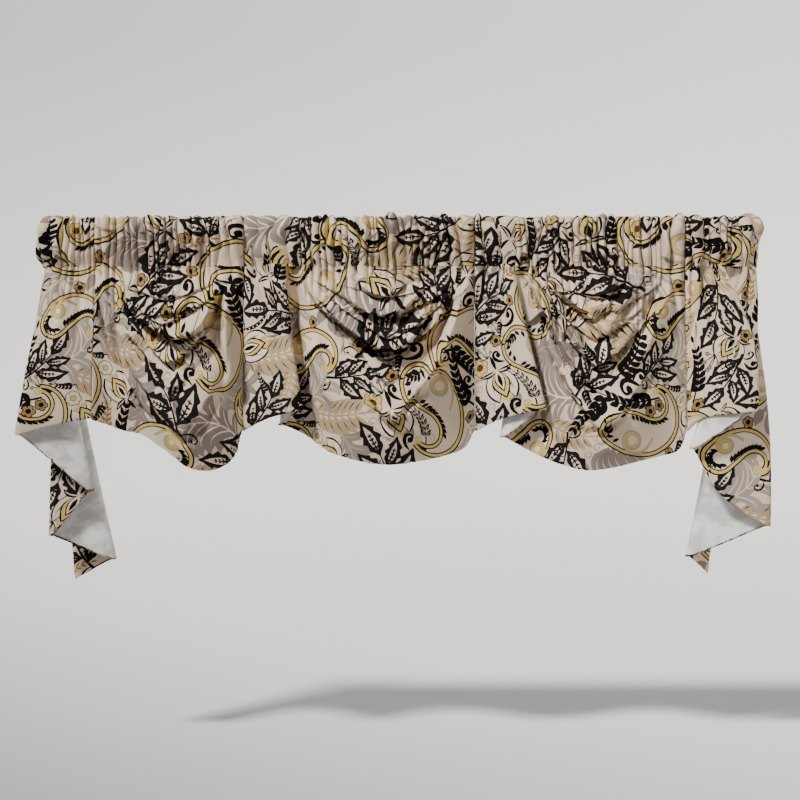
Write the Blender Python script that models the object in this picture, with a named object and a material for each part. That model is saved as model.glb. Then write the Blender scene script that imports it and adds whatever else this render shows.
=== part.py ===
"""A lined window swag with three scoops and a cascading jabot at each end, as it hangs from a wide
curtain rod. The rod runs through a gathered pocket along the top, and the pocket turns back to the
wall at both ends.

The part's frame: +X to the right as seen from the room, +Y towards the window, +Z up. The origin is
the middle of the pocket's top edge, in the plane of the rod. Lengths are millimetres until a mesh is
made.
"""

import math

import bpy
import numpy as np

MM = 0.001

# The rod line: a straight front, a rounded corner at each end, and a return to the wall.
HALF_FRONT = 568.0
CORNER = 22.0
RETURN_END = 78.0
STRAIGHT = HALF_FRONT - CORNER
CORNER_ARC = CORNER * math.pi / 2
RUN_END = STRAIGHT + CORNER_ARC + RETURN_END - CORNER

# Seams between the units, as distances along the rod line from its middle
SEAMS = (-487.0, -247.0, 125.0, 464.0)
SEAM_GAP = 0.5

# Cloth
CLOTH = 1.2
LINING = 1.0
LINING_GAP = 0.35
LINING_DROP = 0.1

# The rod pocket, gathered on the rod. It stands out this far before and behind the rod line.
POCKET_HEIGHT = 83.0
POCKET_FRONT = 15.0
POCKET_BACK = 10.0
POCKET_SHOULDER = 8.0
POCKET_TOP = 2.2
GATHER_SPACING = 11.5
GATHER_DEPTH = 5.0
GATHER_DRIFT = 0.28
GATHER_DRIFT_WAVES = (17.0, 57.0)
GATHER_MEAN = 0.82
GATHER_SWELL = 0.30
GATHER_SWELL_WAVE = 140.0

# Cloth just under the pocket: it starts gathered, and swells forward before it hangs down.
TOP = -POCKET_HEIGHT - 0.4
TOP_OUT = 3.5
PLEAT_DEPTH = 4.0
PLEAT_STEEPNESS = 0.45
PLEAT_FADE = 0.36
PLEAT_MEAN = 0.7
PLEAT_SWELL = 0.4
PLEAT_SWELL_WAVE = 105.0
BULGE = 1.5

# Pressed folds: the radius at the tip, and how far apart the layers start at the pocket
FOLD_RADIUS = 5.0
FOLD_LAP = 3.8

# A scoop's cross rows sink from both top corners to its lowest thread in a V of this shape.
SCOOP_SHARPNESS = 1.3
SCOOP_SPREAD = 6.0
SCOOP_TIGHT = 0.12
SINK = 1 - SCOOP_TIGHT
FOLD_ABOVE = 1.15
FOLD_BELOW = 0.62
FOLD_SAG = 0.6
VALLEY = 0.35
ARM_FADE = 0.7
ARM_END = 0.35
HEM_CURL = 10.0

# Each unit's lower edge, left to right:
#   x, y, z: a place on the hem; run: where the same thread is gathered on the rod line;
#   bow: how far the thread swings sideways half way down; belly: how far it swells forward there;
#   turn: 1 or -1 at a fold whose tip points right or left, else 0; steps: divisions to the next row
COLUMNS = ("x", "y", "z", "run", "bow", "belly", "turn", "steps")

JABOT_LEFT = (
    (-528, 34, -591, -632, 0, 0, 0, 2),
    (-462, 12, -556, -622, 0, 0, 1, 2),
    (-556, -12, -517, -608, 4, 0, -1, 2),
    (-492, -30, -443, -594, 0, 0, 1, 3),
    (-600, -57, -353, -574, 0, 4, -1, 2),
    (-560, -58, -342, -545, -3, 4, 0, 2),
    (-522, -52, -333, -515, 0, 2, 0, 2),
    (-487, -42, -327, -488, 0, 0, 0, 0),
)

SWAG_LEFT = (
    (-486, -42, -329, -486, 0, 0, 0, 2),
    (-466, -33, -336, -472, 0, 0, 0, 2),
    (-442, -36, -346, -456, 0, 4, 0, 3),
    (-408, -52, -353, -432, 0, 14, 0, 3),
    (-368, -70, -377, -404, 0, 22, 0, 3),
    (-330, -82, -404, -376, 0, 28, 0, 3),
    (-301, -86, -410, -350, 0, 28, 0, 3),
    (-276, -78, -404, -322, 0, 22, 0, 3),
    (-258, -58, -388, -290, 0, 12, 0, 3),
    (-247, -34, -348, -248, 0, 0, 0, 0),
)

SWAG_MIDDLE = (
    (-246, -33, -347, -246, 0, 0, 0, 2),
    (-205, -48, -327, -214, 0, 3, 0, 2),
    (-152, -62, -314, -186, 0, 3, 1, 2),
    (-182, -32, -338, -170, 0, 0, -1, 2),
    (-150, -24, -352, -156, 0, 2, 0, 3),
    (-110, -54, -379, -126, 0, 14, 0, 3),
    (-62, -78, -394, -78, 0, 26, 0, 3),
    (-14, -88, -400, -18, 0, 30, 0, 3),
    (34, -82, -395, 36, 0, 26, 0, 3),
    (76, -66, -386, 78, 0, 16, 0, 3),
    (108, -46, -374, 106, 0, 6, 0, 2),
    (124, -34, -348, 124, 0, 0, 0, 0),
)

SWAG_RIGHT = (
    (126, -33, -347, 126, 0, 0, 0, 2),
    (166, -47, -328, 154, 0, 3, 0, 2),
    (232, -64, -313, 182, 0, 3, 1, 3),
    (172, -33, -357, 200, 0, 0, -1, 3),
    (214, -24, -380, 215, 0, 2, 0, 3),
    (256, -58, -399, 242, 0, 14, 0, 3),
    (300, -84, -409, 282, 0, 28, 0, 3),
    (338, -88, -405, 326, 0, 30, 0, 3),
    (378, -80, -396, 372, 0, 24, 0, 3),
    (418, -62, -387, 414, 0, 12, 0, 3),
    (450, -44, -377, 446, 0, 4, 0, 2),
    (463, -34, -348, 463, 0, 0, 0, 0),
)

JABOT_RIGHT = (
    (465, -33, -347, 465, 0, 0, 0, 2),
    (486, -44, -328, 480, 0, 3, 0, 2),
    (526, -56, -321, 502, 6, 4, 0, 2),
    (566, -63, -316, 522, 20, 4, 1, 3),
    (474, -36, -376, 540, 6, 0, -1, 2),
    (514, -28, -444, 556, 10, 0, 0, 2),
    (556, -20, -478, 570, 14, 0, 0, 2),
    (598, -10, -501, 588, 14, 0, 1, 3),
    (476, 14, -552, 612, 0, 0, -1, 2),
    (510, 34, -581, 632, 0, 0, 0, 0),
)

# The folds that hang across each scoop, counted down its middle from the pocket (0) to the hem (1).
#   crest: place of the ridge; depth: how far it stands out; width: its half width;
#   left, right: how far its arms reach across the scoop, where -1 and 1 are the scoop's seams
FOLD_COLUMNS = ("crest", "depth", "width", "left", "right")

SCOOP_LEFT_FOLDS = (
    (0.16, 11.0, 0.055, -0.80, 0.85),
    (0.28, 13.0, 0.055, -0.55, 0.90),
    (0.42, 22.0, 0.070, -0.98, 0.85),
    (0.57, 15.0, 0.065, -1.00, 0.20),
    (0.78, 16.0, 0.080, -0.95, 0.95),
)

SCOOP_MIDDLE_FOLDS = (
    (0.15, 10.0, 0.050, -0.75, 0.80),
    (0.28, 17.0, 0.060, -1.00, 0.90),
    (0.42, 20.0, 0.065, -1.00, 0.95),
    (0.55, 11.0, 0.060, -0.95, 0.10),
    (0.71, 19.0, 0.080, -0.45, 1.00),
)

SCOOP_RIGHT_FOLDS = (
    (0.14, 10.0, 0.050, -0.75, 0.80),
    (0.28, 14.0, 0.055, -0.95, 0.90),
    (0.44, 22.0, 0.065, -1.00, 0.95),
    (0.58, 14.0, 0.060, -1.00, -0.05),
    (0.74, 20.0, 0.075, -1.00, 0.95),
)

# Cross rows, from the pocket (0) to the hem (1)
JABOT_ROWS = (0.0, 0.045, 0.11, 0.22, 0.38, 0.57, 0.79, 1.0)
SCOOP_END_ROWS = (0.0, 0.05, 0.93, 1.0)

# Colour and roughness of each kind of cloth
CLOTHS = {
    "print": ((0.62, 0.56, 0.48), 0.85),
    "lining": ((0.80, 0.79, 0.77), 0.80),
}


def clear_scene():
    for thing in list(bpy.data.objects):
        bpy.data.objects.remove(thing, do_unlink=True)


def material(name):
    """The plain finish of one kind of cloth, made once."""
    found = bpy.data.materials.get(name)
    if found:
        return found
    made = bpy.data.materials.new(name)
    made.use_nodes = True
    colour, roughness = CLOTHS[name]
    shader = made.node_tree.nodes["Principled BSDF"]
    shader.inputs["Base Color"].default_value = (*colour, 1.0)
    shader.inputs["Roughness"].default_value = roughness
    shader.inputs["Metallic"].default_value = 0.0
    return made


def smooth(value):
    """Eases from 0 to 1 as the value goes from 0 to 1, and holds outside."""
    t = np.clip(value, 0.0, 1.0)
    return t * t * (3 - 2 * t)


def rod_line(run):
    """Places on the rod line at distances from its middle, and the level directions out from it."""
    side = np.sign(run)
    beyond = np.abs(run) - STRAIGHT
    angle = np.clip(beyond, 0, CORNER_ARC) / CORNER
    x = side * (np.minimum(np.abs(run), STRAIGHT) + CORNER * np.sin(angle))
    y = CORNER * (1 - np.cos(angle)) + np.maximum(beyond - CORNER_ARC, 0)
    out = np.stack([side * np.sin(angle), -np.cos(angle)], -1)
    return np.stack([x, y], -1), out


def solid(name, grid, cloth, thickness, offset, closed=False):
    """Cloth on a grid of places: quads, split the same way in every layer, made solid by Solidify.
    closed joins each row's end to its start, which makes a tube."""
    rows, columns = grid.shape[:2]
    index = np.arange(rows * columns).reshape(rows, columns)
    if closed:
        index = np.concatenate([index, index[:, :1]], axis=1)
    quads = np.stack([index[:-1, :-1], index[1:, :-1], index[1:, 1:], index[:-1, 1:]], -1)
    mesh = bpy.data.meshes.new(name)
    mesh.from_pydata((grid.reshape(-1, 3) * MM).tolist(), [], quads.reshape(-1, 4).tolist())
    mesh.shade_smooth()
    mesh.materials.append(material(cloth))
    thing = bpy.data.objects.new(name, mesh)
    bpy.context.scene.collection.objects.link(thing)
    split = thing.modifiers.new("Triangles", "TRIANGULATE")
    split.quad_method = "FIXED"
    wall = thing.modifiers.new("Cloth", "SOLIDIFY")
    wall.thickness = thickness * MM
    wall.offset = offset
    return thing


def pocket_ring():
    """The pocket's section, from its stitched bottom edge up the front and down the back: distance
    out from the rod line, height, and the shares of a gather that push it out and lift it."""
    low = POCKET_SHOULDER - POCKET_HEIGHT
    return (
        (0.0, CLOTH / 2 - POCKET_HEIGHT, 0.0, 0.0),
        (POCKET_FRONT - 2, low, 0.9, 0.0),
        (POCKET_FRONT, -POCKET_HEIGHT / 2, 1.0, 0.0),
        (POCKET_FRONT - 2, -POCKET_SHOULDER, 0.9, 0.2),
        (0.0, -POCKET_TOP, 0.0, 0.35),
        (1 - POCKET_BACK, -POCKET_SHOULDER, -0.3, 0.2),
        (-POCKET_BACK, low + 2, 0.0, 0.0),
    )


def pocket(name, start, end):
    """A length of the rod pocket: a gathered tube round the rod line, open at both ends."""
    count = round((end - start) / GATHER_SPACING)
    run = np.linspace(start, end, count + 1)
    fast, slow = GATHER_DRIFT_WAVES
    drift = np.sin(run * 2 * math.pi / fast) * np.cos(run * 2 * math.pi / slow)
    run[1:-1] += GATHER_SPACING * GATHER_DRIFT * drift[1:-1]
    gather = np.where(np.arange(count + 1) % 2 == 0, GATHER_DEPTH, -GATHER_DEPTH)
    gather *= GATHER_MEAN + GATHER_SWELL * np.sin(run * 2 * math.pi / GATHER_SWELL_WAVE)
    gather[[0, -1]] = 0.0
    place, out = rod_line(run)
    points = []
    for distance, height, pushed, lifted in pocket_ring():
        away = distance + pushed * gather
        level = height + lifted * gather
        points.append(np.column_stack([place + out * away[:, None], level]))
    solid(name, np.stack(points, 1), "print", CLOTH, 0.0, closed=True)


def turned(rows, behind):
    """The table's rows, with each fold's tip made a half circle of three places. behind is 1 where
    the later rows of the table lie behind the earlier ones, and -1 where they lie in front."""
    found = []
    lap = 2.5 * FOLD_LAP
    for row in rows:
        place = dict(zip(COLUMNS, row), gathered=1.0, lap=0.0)
        if not place["turn"]:
            found.append(place)
            continue
        on_front = abs(place["run"]) < STRAIGHT
        for part in (-1, 0, 1):
            tip = dict(place, y=place["y"] + part * behind * FOLD_RADIUS, steps=1, gathered=0.0)
            tip["run"] += part * FOLD_RADIUS
            tip["x"] += place["turn"] * FOLD_RADIUS * (1 - abs(part))
            tip["lap"] = lap if on_front else 0.0
            lap -= FOLD_LAP
            found.append(tip)
        found[-1]["steps"] = place["steps"]
    return found


def through(values, at, wanted):
    """A smooth curve through the values: Catmull-Rom pieces whose knots are uneven."""
    values = np.concatenate([[2 * values[0] - values[1]], values, [2 * values[-1] - values[-2]]])
    knots = np.concatenate([[2 * at[0] - at[1]], at, [2 * at[-1] - at[-2]]])
    piece = np.clip(np.searchsorted(at, wanted, side="right") - 1, 0, len(at) - 2)
    t0, t1, t2, t3 = (knots[piece + k] for k in range(4))
    p0, p1, p2, p3 = (values[piece + k] for k in range(4))
    first = (t1 - wanted) / (t1 - t0) * p0 + (wanted - t0) / (t1 - t0) * p1
    second = (t2 - wanted) / (t2 - t1) * p1 + (wanted - t1) / (t2 - t1) * p2
    third = (t3 - wanted) / (t3 - t2) * p2 + (wanted - t2) / (t3 - t2) * p3
    left = (t2 - wanted) / (t2 - t0) * first + (wanted - t0) / (t2 - t0) * second
    right = (t3 - wanted) / (t3 - t1) * second + (wanted - t1) / (t3 - t1) * third
    return (t2 - wanted) / (t2 - t1) * left + (wanted - t1) / (t2 - t1) * right


def threads(rows, behind=1):
    """A unit's lengthwise threads, left to right: the table's columns for each, as arrays."""
    places = turned(rows, behind)
    hem = np.array([[place["x"], place["y"], place["z"]] for place in places], float)
    strides = np.sqrt(np.linalg.norm(np.diff(hem, axis=0), axis=1))
    at = np.concatenate([[0], np.cumsum(strides)])
    wanted = []
    for i, place in enumerate(places[:-1]):
        wanted += list(np.linspace(at[i], at[i + 1], place["steps"], endpoint=False))
    wanted = np.array(wanted + [at[-1]])
    found = {key: through(hem[:, i], at, wanted) for i, key in enumerate("xyz")}
    for key in ("run", "bow", "belly", "gathered", "lap"):
        found[key] = np.interp(wanted, at, [place[key] for place in places])
    return found


def gathers(found):
    """How far each thread is pushed out where it leaves the pocket."""
    run = found["run"]
    pleat = np.minimum(PLEAT_DEPTH, np.gradient(run) * PLEAT_STEEPNESS)
    pleat *= PLEAT_MEAN + PLEAT_SWELL * np.sin(run * 2 * math.pi / PLEAT_SWELL_WAVE)
    pleat *= np.where(np.arange(len(run)) % 2 == 0, 1.0, -1.0)
    pleat[[0, -1]] = 0.0
    return TOP_OUT + pleat * found["gathered"] + found["lap"]


def drape(found, down):
    """Places on the threads, for a grid of shares of the way down from the pocket to the hem."""
    place, out = rod_line(found["run"])
    push = gathers(found) * (1 - smooth(down / PLEAT_FADE))
    swing = np.sin(math.pi * down)
    forward = 1 - (1 - down) ** BULGE
    x = place[:, 0] + (found["x"] - place[:, 0]) * down + found["bow"] * swing + out[:, 0] * push
    y = place[:, 1] + (found["y"] - place[:, 1]) * forward - found["belly"] * swing + out[:, 1] * push
    z = TOP + (found["z"] - TOP) * down
    return np.stack([x, y, z], -1)


def scoop_rows(folds):
    """The cross rows of a scoop: above, on and below each fold's crest, and near both ends."""
    levels = set(SCOOP_END_ROWS)
    for fold in folds:
        crest, width = fold["crest"], fold["width"]
        levels |= {crest - width, crest, crest + FOLD_BELOW * width}
    levels = sorted(levels)
    return np.array([here for here, after in zip(levels, levels[1:] + [2.0]) if after - here > 0.02])


def scoop(rows, first, middle, folds):
    """A unit that holds a scoop: its grid of places, and its count of threads beside the scoop.
    The scoop starts at the table's row first, and its lowest thread reaches the hem at x = middle.
    """
    folds = [dict(zip(FOLD_COLUMNS, fold)) for fold in folds]
    found = threads(rows)
    run = found["run"]
    start, end = (dict(zip(COLUMNS, rows[i]))["run"] for i in (first, -1))
    lowest = np.interp(middle, found["x"][run >= start], run[run >= start])
    side = np.where(run < lowest, lowest - start, end - lowest)
    across = (run - lowest) / side
    beside = across < -1
    level = np.repeat(scoop_rows(folds)[:, None], len(run), 1)
    away = np.minimum(np.abs(across), 1) ** SCOOP_SHARPNESS
    down = np.where(beside, level, level * (1 - (1 - level**SCOOP_SPREAD) * away * SINK))
    grid = drape(found, down)
    reach = (1 - away * SINK) ** ARM_FADE * smooth(down * 9) * smooth((1 - np.abs(across)) * 5)
    stand = np.zeros_like(down)
    for fold in folds:
        arms = smooth((across - fold["left"]) / ARM_END) * smooth((fold["right"] - across) / ARM_END)
        below = (level - fold["crest"]) / fold["width"]
        ridge = np.exp(-((below / np.where(below < 0, FOLD_ABOVE, FOLD_BELOW)) ** 2))
        valley = np.exp(-(((below - 1.15) / 0.55) ** 2))
        stand += fold["depth"] * arms * (ridge - VALLEY * valley)
    stand *= np.where(beside, 0.0, reach)
    curl = HEM_CURL * smooth((level - 0.9) * 10) * smooth((1 - np.abs(across)) * 4)
    grid[:, :, 1] += np.where(beside, 0.0, curl) - stand
    grid[:, :, 2] -= np.maximum(stand, 0) * FOLD_SAG
    return grid, int(beside.sum())


def line_back(name, grid):
    """The lining behind a grid of cloth: parallel to it with a hair's gap, and a little lower at
    the pocket. It stops half way to the grid's last thread."""
    behind = grid.copy()
    behind[0] += (grid[1] - grid[0]) * LINING_DROP
    behind[:, -1] = (grid[:, -2] + behind[:, -1]) / 2
    offset = -(LINING + CLOTH + 2 * LINING_GAP) / LINING
    solid(name, behind, "lining", LINING, offset)


def build_pockets():
    ends = (-RUN_END, *SEAMS, RUN_END)
    names = ("pocket_left_end", "pocket_left", "pocket_middle", "pocket_right", "pocket_right_end")
    for name, start, end in zip(names, ends, ends[1:]):
        pocket(name, start + SEAM_GAP / 2, end - SEAM_GAP / 2)


def build_jabots():
    for side, rows, behind in (("left", JABOT_LEFT, -1), ("right", JABOT_RIGHT, 1)):
        found = threads(rows, behind)
        down = np.repeat(np.array(JABOT_ROWS)[:, None], len(found["run"]), 1)
        grid = drape(found, down)
        solid(f"jabot_{side}", grid, "print", CLOTH, 0.0)
        line_back(f"lining_jabot_{side}", grid)


def build_swags():
    units = (
        ("left", SWAG_LEFT, 0, -335, SCOOP_LEFT_FOLDS),
        ("middle", SWAG_MIDDLE, 4, -10, SCOOP_MIDDLE_FOLDS),
        ("right", SWAG_RIGHT, 4, 322, SCOOP_RIGHT_FOLDS),
    )
    for side, rows, first, middle, folds in units:
        grid, beside = scoop(rows, first, middle, folds)
        solid(f"swag_{side}", grid, "print", CLOTH, 0.0)
        if beside:
            line_back(f"lining_swag_{side}", grid[:, : beside + 1])


clear_scene()
build_pockets()
build_jabots()
build_swags()
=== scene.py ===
"""The looks of a lined window swag: three scoops between flat strips, a jabot at each end, and a
gathered rod pocket along the top. Lengths are millimetres until a mesh is made. +X is right and +Y
is away as seen from the room, and +Z is up. The origin is the middle of the pocket's top edge."""

import math

import bpy
import numpy as np
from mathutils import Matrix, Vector
from mathutils.geometry import delaunay_2d_cdt


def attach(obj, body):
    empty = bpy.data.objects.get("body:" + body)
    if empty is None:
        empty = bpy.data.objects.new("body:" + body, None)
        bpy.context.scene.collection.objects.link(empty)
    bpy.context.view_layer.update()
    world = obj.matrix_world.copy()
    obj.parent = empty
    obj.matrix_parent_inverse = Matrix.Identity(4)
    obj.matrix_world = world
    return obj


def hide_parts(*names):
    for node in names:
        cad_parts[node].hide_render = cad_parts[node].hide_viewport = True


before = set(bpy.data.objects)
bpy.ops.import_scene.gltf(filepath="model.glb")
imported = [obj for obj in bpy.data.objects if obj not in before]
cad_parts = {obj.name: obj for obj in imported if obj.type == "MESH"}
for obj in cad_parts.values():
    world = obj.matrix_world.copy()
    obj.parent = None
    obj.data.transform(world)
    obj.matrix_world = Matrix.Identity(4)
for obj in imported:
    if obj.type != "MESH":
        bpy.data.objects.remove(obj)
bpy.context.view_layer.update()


# Camera, light and floor: level with the swag's middle, 2.6 m away. One broad distant light from
# high on the left, a weak one low on the right, and a pale floor that curves up far away all round.

SWAG_MIDDLE_PLACE = (0.0, 0.0, -0.3)


def stand(name, data, place, aim=None):
    """Links an object in its place, and turns it to face a point if one is given."""
    thing = bpy.data.objects.new(name, data)
    bpy.context.scene.collection.objects.link(thing)
    thing.location = place
    if aim is not None:
        away = Vector(aim) - Vector(place)
        thing.rotation_euler = away.to_track_quat("-Z", "Y").to_euler()
    return thing


camera = bpy.data.cameras.new("Camera")
camera.sensor_width = 36.0
camera.lens = 72.3
eye = stand("Camera", camera, (0.005, -2.6, -0.299))
eye.rotation_euler = (math.pi / 2, 0.0, 0.0)
bpy.context.scene.camera = eye

key = bpy.data.lights.new("Key", "SUN")
key.energy = 5.7
key.angle = math.radians(9)
key.color = (1.0, 0.985, 0.965)
stand("Key", key, (-1.7, -1.9, 2.5), SWAG_MIDDLE_PLACE)
fill = bpy.data.lights.new("Fill", "AREA")
fill.energy = 4.0
fill.size = 1.8
stand("Fill", fill, (1.9, -1.9, 0.0), SWAG_MIDDLE_PLACE)

world = bpy.data.worlds.new("Room")
world.use_nodes = True
sky = world.node_tree.nodes["Background"].inputs
sky["Color"].default_value = (0.92, 0.91, 0.90, 1.0)
sky["Strength"].default_value = 0.27
bpy.context.scene.world = world

# The floor is turned about an upright line: flat out to FLAT_OUT, then a quarter circle of radius
# CURVE, then straight up to BOWL_TOP
FLOOR_LEVEL, FLAT_OUT, CURVE, BOWL_TOP = -0.86, 4.0, 2.6, 6.0
TURNS, STEPS = 96, 24
lean = np.linspace(0, math.pi / 2, STEPS + 1)
radius = np.concatenate([[0.0001], FLAT_OUT + CURVE * np.sin(lean), [FLAT_OUT + CURVE]])
height = np.concatenate([[FLOOR_LEVEL], FLOOR_LEVEL + CURVE * (1 - np.cos(lean)), [BOWL_TOP]])
angle = 2 * math.pi * np.arange(TURNS) / TURNS
verts = np.stack([np.outer(radius, np.cos(angle)), np.outer(radius, np.sin(angle)),
                  np.repeat(height[:, None], TURNS, 1)], -1).reshape(-1, 3)
here = np.arange(len(radius) * TURNS).reshape(-1, TURNS)
there = np.roll(here, -1, axis=1)
faces = np.stack([here[:-1], there[:-1], there[1:], here[1:]], -1).reshape(-1, 4)
bowl_mesh = bpy.data.meshes.new("Floor")
bowl_mesh.from_pydata(verts.tolist(), [], faces.tolist())
bowl_mesh.shade_smooth()
bowl = stand("Floor", bowl_mesh, (0, 0, 0))
paint = bpy.data.materials.new("Floor")
paint.use_nodes = True
painted = paint.node_tree.nodes["Principled BSDF"].inputs
painted["Base Color"].default_value = (0.72, 0.715, 0.71, 1)
painted["Roughness"].default_value = 0.95
bowl_mesh.materials.append(paint)


# The print: leaves, flowers, commas and scrolls on ivory, screened in nine inks. It is drawn as
# shapes, each an ink and a closed outline in millimetres. Later shapes lie over earlier ones, and
# the whole drawing repeats every REPEAT millimetres across and up.

REPEAT = (588.0, 483.0)
INKS = {
    "ivory": (0.690, 0.555, 0.415),
    "cream": (0.740, 0.615, 0.475),
    "black": (0.006, 0.005, 0.005),
    "coal": (0.012, 0.010, 0.011),
    "grey": (0.260, 0.208, 0.178),
    "smoke": (0.365, 0.300, 0.250),
    "gold": (0.600, 0.430, 0.140),
    "ochre": (0.300, 0.185, 0.070),
    "tan": (0.450, 0.330, 0.195),
    "brown": (0.080, 0.040, 0.025),
}


def trail(length, turn=0.0, angle=0.0, hook=0.0, start=(0.0, 0.0), count=0):
    """Points along a bending line. Its heading starts at angle and turns by turn degrees in all:
    evenly, or late in the line as hook goes from 0 to 1."""
    count = count or int(max(6, min(40, length / 3.0 + abs(turn) / 14)))
    share = (np.arange(count) + 0.5) / count
    heading = np.radians(angle + turn * ((1 - hook) * share + hook * share**3))
    steps = np.stack([np.cos(heading), np.sin(heading)], 1) * length / count
    return np.concatenate([[(0.0, 0.0)], np.cumsum(steps, 0)]) + start


def heading(path, share):
    """The place at a share of the way along a path, and the heading there in degrees."""
    at = share * (len(path) - 1)
    i = int(min(at, len(path) - 2))
    step = path[i + 1] - path[i]
    return path[i] + step * (at - i), math.degrees(math.atan2(step[1], step[0]))


def ribbon(path, half, teeth=0, bite=0.0):
    """The outline of a band along a path. Its half widths are given at even distances. With teeth,
    its edges swell into lobes that lean forward: 1 - bite sin(pi t^2), where t runs from 0 to 1
    along each."""
    share = np.linspace(0, 1, len(path))
    saw = 1 - bite * np.sin(math.pi * np.mod(share * teeth + 0.25, 1.0) ** 2)
    forward = np.gradient(path, axis=0)
    forward /= np.linalg.norm(forward, axis=1)[:, None]
    side = np.stack([-forward[:, 1], forward[:, 0]], 1)
    off = side * (np.interp(share, np.linspace(0, 1, len(half)), half) * saw)[:, None]
    return np.concatenate([path + off, (path - off)[::-1]])


def disc(x, y, radius, count):
    """A round outline with so many corners."""
    angle = np.arange(count) * 2 * math.pi / count
    return np.stack([x + radius * np.cos(angle), y + radius * np.sin(angle)], 1)


def put(shapes, x=0.0, y=0.0, turn=0.0, size=1.0, flip=False):
    """Shapes mirrored, scaled and turned about the origin, then moved."""
    c, s = math.cos(math.radians(turn)) * size, math.sin(math.radians(turn)) * size
    across, up = (c, s), (-s, c)
    if flip:
        across = (-c, -s)
    matrix = np.array([across, up])
    return [(ink, outline @ matrix + (x, y)) for ink, outline in shapes]


BLADE = (0.0, 0.5, 0.85, 1.0, 0.95, 0.75, 0.42, 0.0)  # a leaf's width from its root to its tip


def leaf(length, width, turn=0.0, ink="black", rib=None, edge=None):
    """A pointed leaf, perhaps with a darker edge and a rib."""
    path = trail(length, turn)
    shapes = []
    if edge:
        rim = [w * width / 2 + 1.3 for w in BLADE]
        rim[-1] = 0.0
        shapes.append((edge, ribbon(trail(length + 2, turn), rim)))
    shapes.append((ink, ribbon(path, [w * width / 2 for w in BLADE])))
    if rib:
        shapes.append((rib, ribbon(path[: int(len(path) * 0.85)], (0.9, 0.7, 0.3))))
    return shapes


def sprig(length, turn=0.0, pairs=5, blade=13.0, ink="black", slim=0.36, stem=0.8, rib=None):
    """A stem with pairs of leaflets that shrink towards its tip."""
    path = trail(length, turn)
    shapes = [(ink, ribbon(path, (stem, stem * 0.7, stem * 0.4)))]
    for k in range(pairs):
        share = 0.16 + 0.76 * k / pairs
        (x, y), angle = heading(path, share)
        long = blade * (1.0 - 0.45 * share)
        for side in (-1, 1):
            one = leaf(long, long * slim, -22 * side, ink, rib)
            shapes += put(one, x, y, angle + side * (48 - 8 * share))
    (x, y), angle = heading(path, 0.999)
    return shapes + put(leaf(blade * 0.75, blade * 0.28, 0, ink), x, y, angle)


def scroll(length, turn, width=3.0, ink="black", ball=1.5, hook=0.75):
    """A tapering line that curls up round a ball."""
    path = trail(length, turn, hook=hook)
    shapes = [(ink, ribbon(path, [width * w for w in (0.12, 0.35, 0.5, 0.42, 0.3, 0.25)]))]
    x, y = path[-1]
    return shapes + [(ink, disc(x, y, ball * width / 2, 10))]


def feather(length, width, turn, flesh):
    """A dark leaf with a notched edge, a pale heart and small dark strokes beside its rib."""
    dark, notches = "coal", 4
    path = trail(length, turn, count=int(length / 1.5))
    shapes = [(dark, ribbon(path, [w * width * 0.60 for w in BLADE], teeth=notches, bite=0.30))]
    heart = path[int(len(path) * 0.12): int(len(path) * 0.86)]
    shapes.append((flesh, ribbon(heart, [w * width * 0.22 for w in BLADE], teeth=notches, bite=0.15)))
    rib = path[int(len(path) * 0.1): int(len(path) * 0.66)]
    shapes.append((dark, ribbon(rib, (1.3, 1.0, 0.4))))
    for k in range(4):
        (x, y), angle = heading(rib, 0.22 + 0.2 * k)
        for side in (-1, 1):
            stroke = leaf(width * (0.27 - 0.03 * k), width * 0.12, 10 * side, dark)
            shapes += put(stroke, x, y, angle + side * 42)
    return shapes


def comma(length, turn, fat, band="gold", flesh="ivory", spiral="smoke"):
    """A large comma: a round head and a curling tail, edged with a band between dark lines, small
    feather strokes inside the band, and a spiral in the head."""
    path = trail(length, turn, hook=0.45, count=44)
    body = [w * fat for w in (1.0, 1.06, 1.0, 0.88, 0.72, 0.56, 0.42, 0.30, 0.22, 0.15)]
    shapes = []
    for ink, inset in (("black", -1.9), (band, 0.0), ("black", 3.5), (flesh, 5.0)):
        widths = [max(w - inset, 0.0) for w in body]
        shapes.append((ink, disc(0, 0, max(body[0] - inset, 0.1), 30)))
        kept = [w > 0 for w in widths]
        reach = max(int(len(path) * sum(kept) / len(kept)), 4)
        shapes.append((ink, ribbon(path[:reach], widths[: sum(kept)])))
    for k in range(17):
        share = k / 16
        if share < 0.4:
            angle = 90 + 180 * (0.4 - share) / 0.4
            x, y = ((body[0] - 5.2) * f(math.radians(angle)) for f in (math.cos, math.sin))
            angle -= 200
        else:
            (x, y), angle = heading(path, (share - 0.4) * 0.95)
            side = np.interp((share - 0.4) * 0.95, np.linspace(0, 1, 10), body) - 5.0
            if side < 3:
                continue
            x -= side * math.sin(math.radians(angle))
            y += side * math.cos(math.radians(angle))
            angle -= 30
        shapes += put(leaf(11.0, 5.2, -25, "black"), x, y, angle)
    inner = trail(fat * 5.2, 610, 200, hook=-0.5, start=(fat * 0.70, 2), count=60)
    shapes.append((spiral, ribbon(inner, (1.2, 3.4, 3.6, 3.0, 2.2, 1.2))))
    inner = trail(fat * 4.8, 600, 204, hook=-0.5, start=(fat * 0.66, 1), count=50)
    shapes.append((band, ribbon(inner, (0.5, 1.5, 1.6, 1.2, 0.5))))
    shapes += put(sprig(fat * 0.92, 30, 4, fat * 0.40, slim=0.42), -fat * 0.30, -fat * 0.66, 112)
    shapes += put(scroll(22, 330, 3.0, band, 2.4, hook=0.2), *path[-1], heading(path, 0.97)[1])
    return shapes


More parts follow.
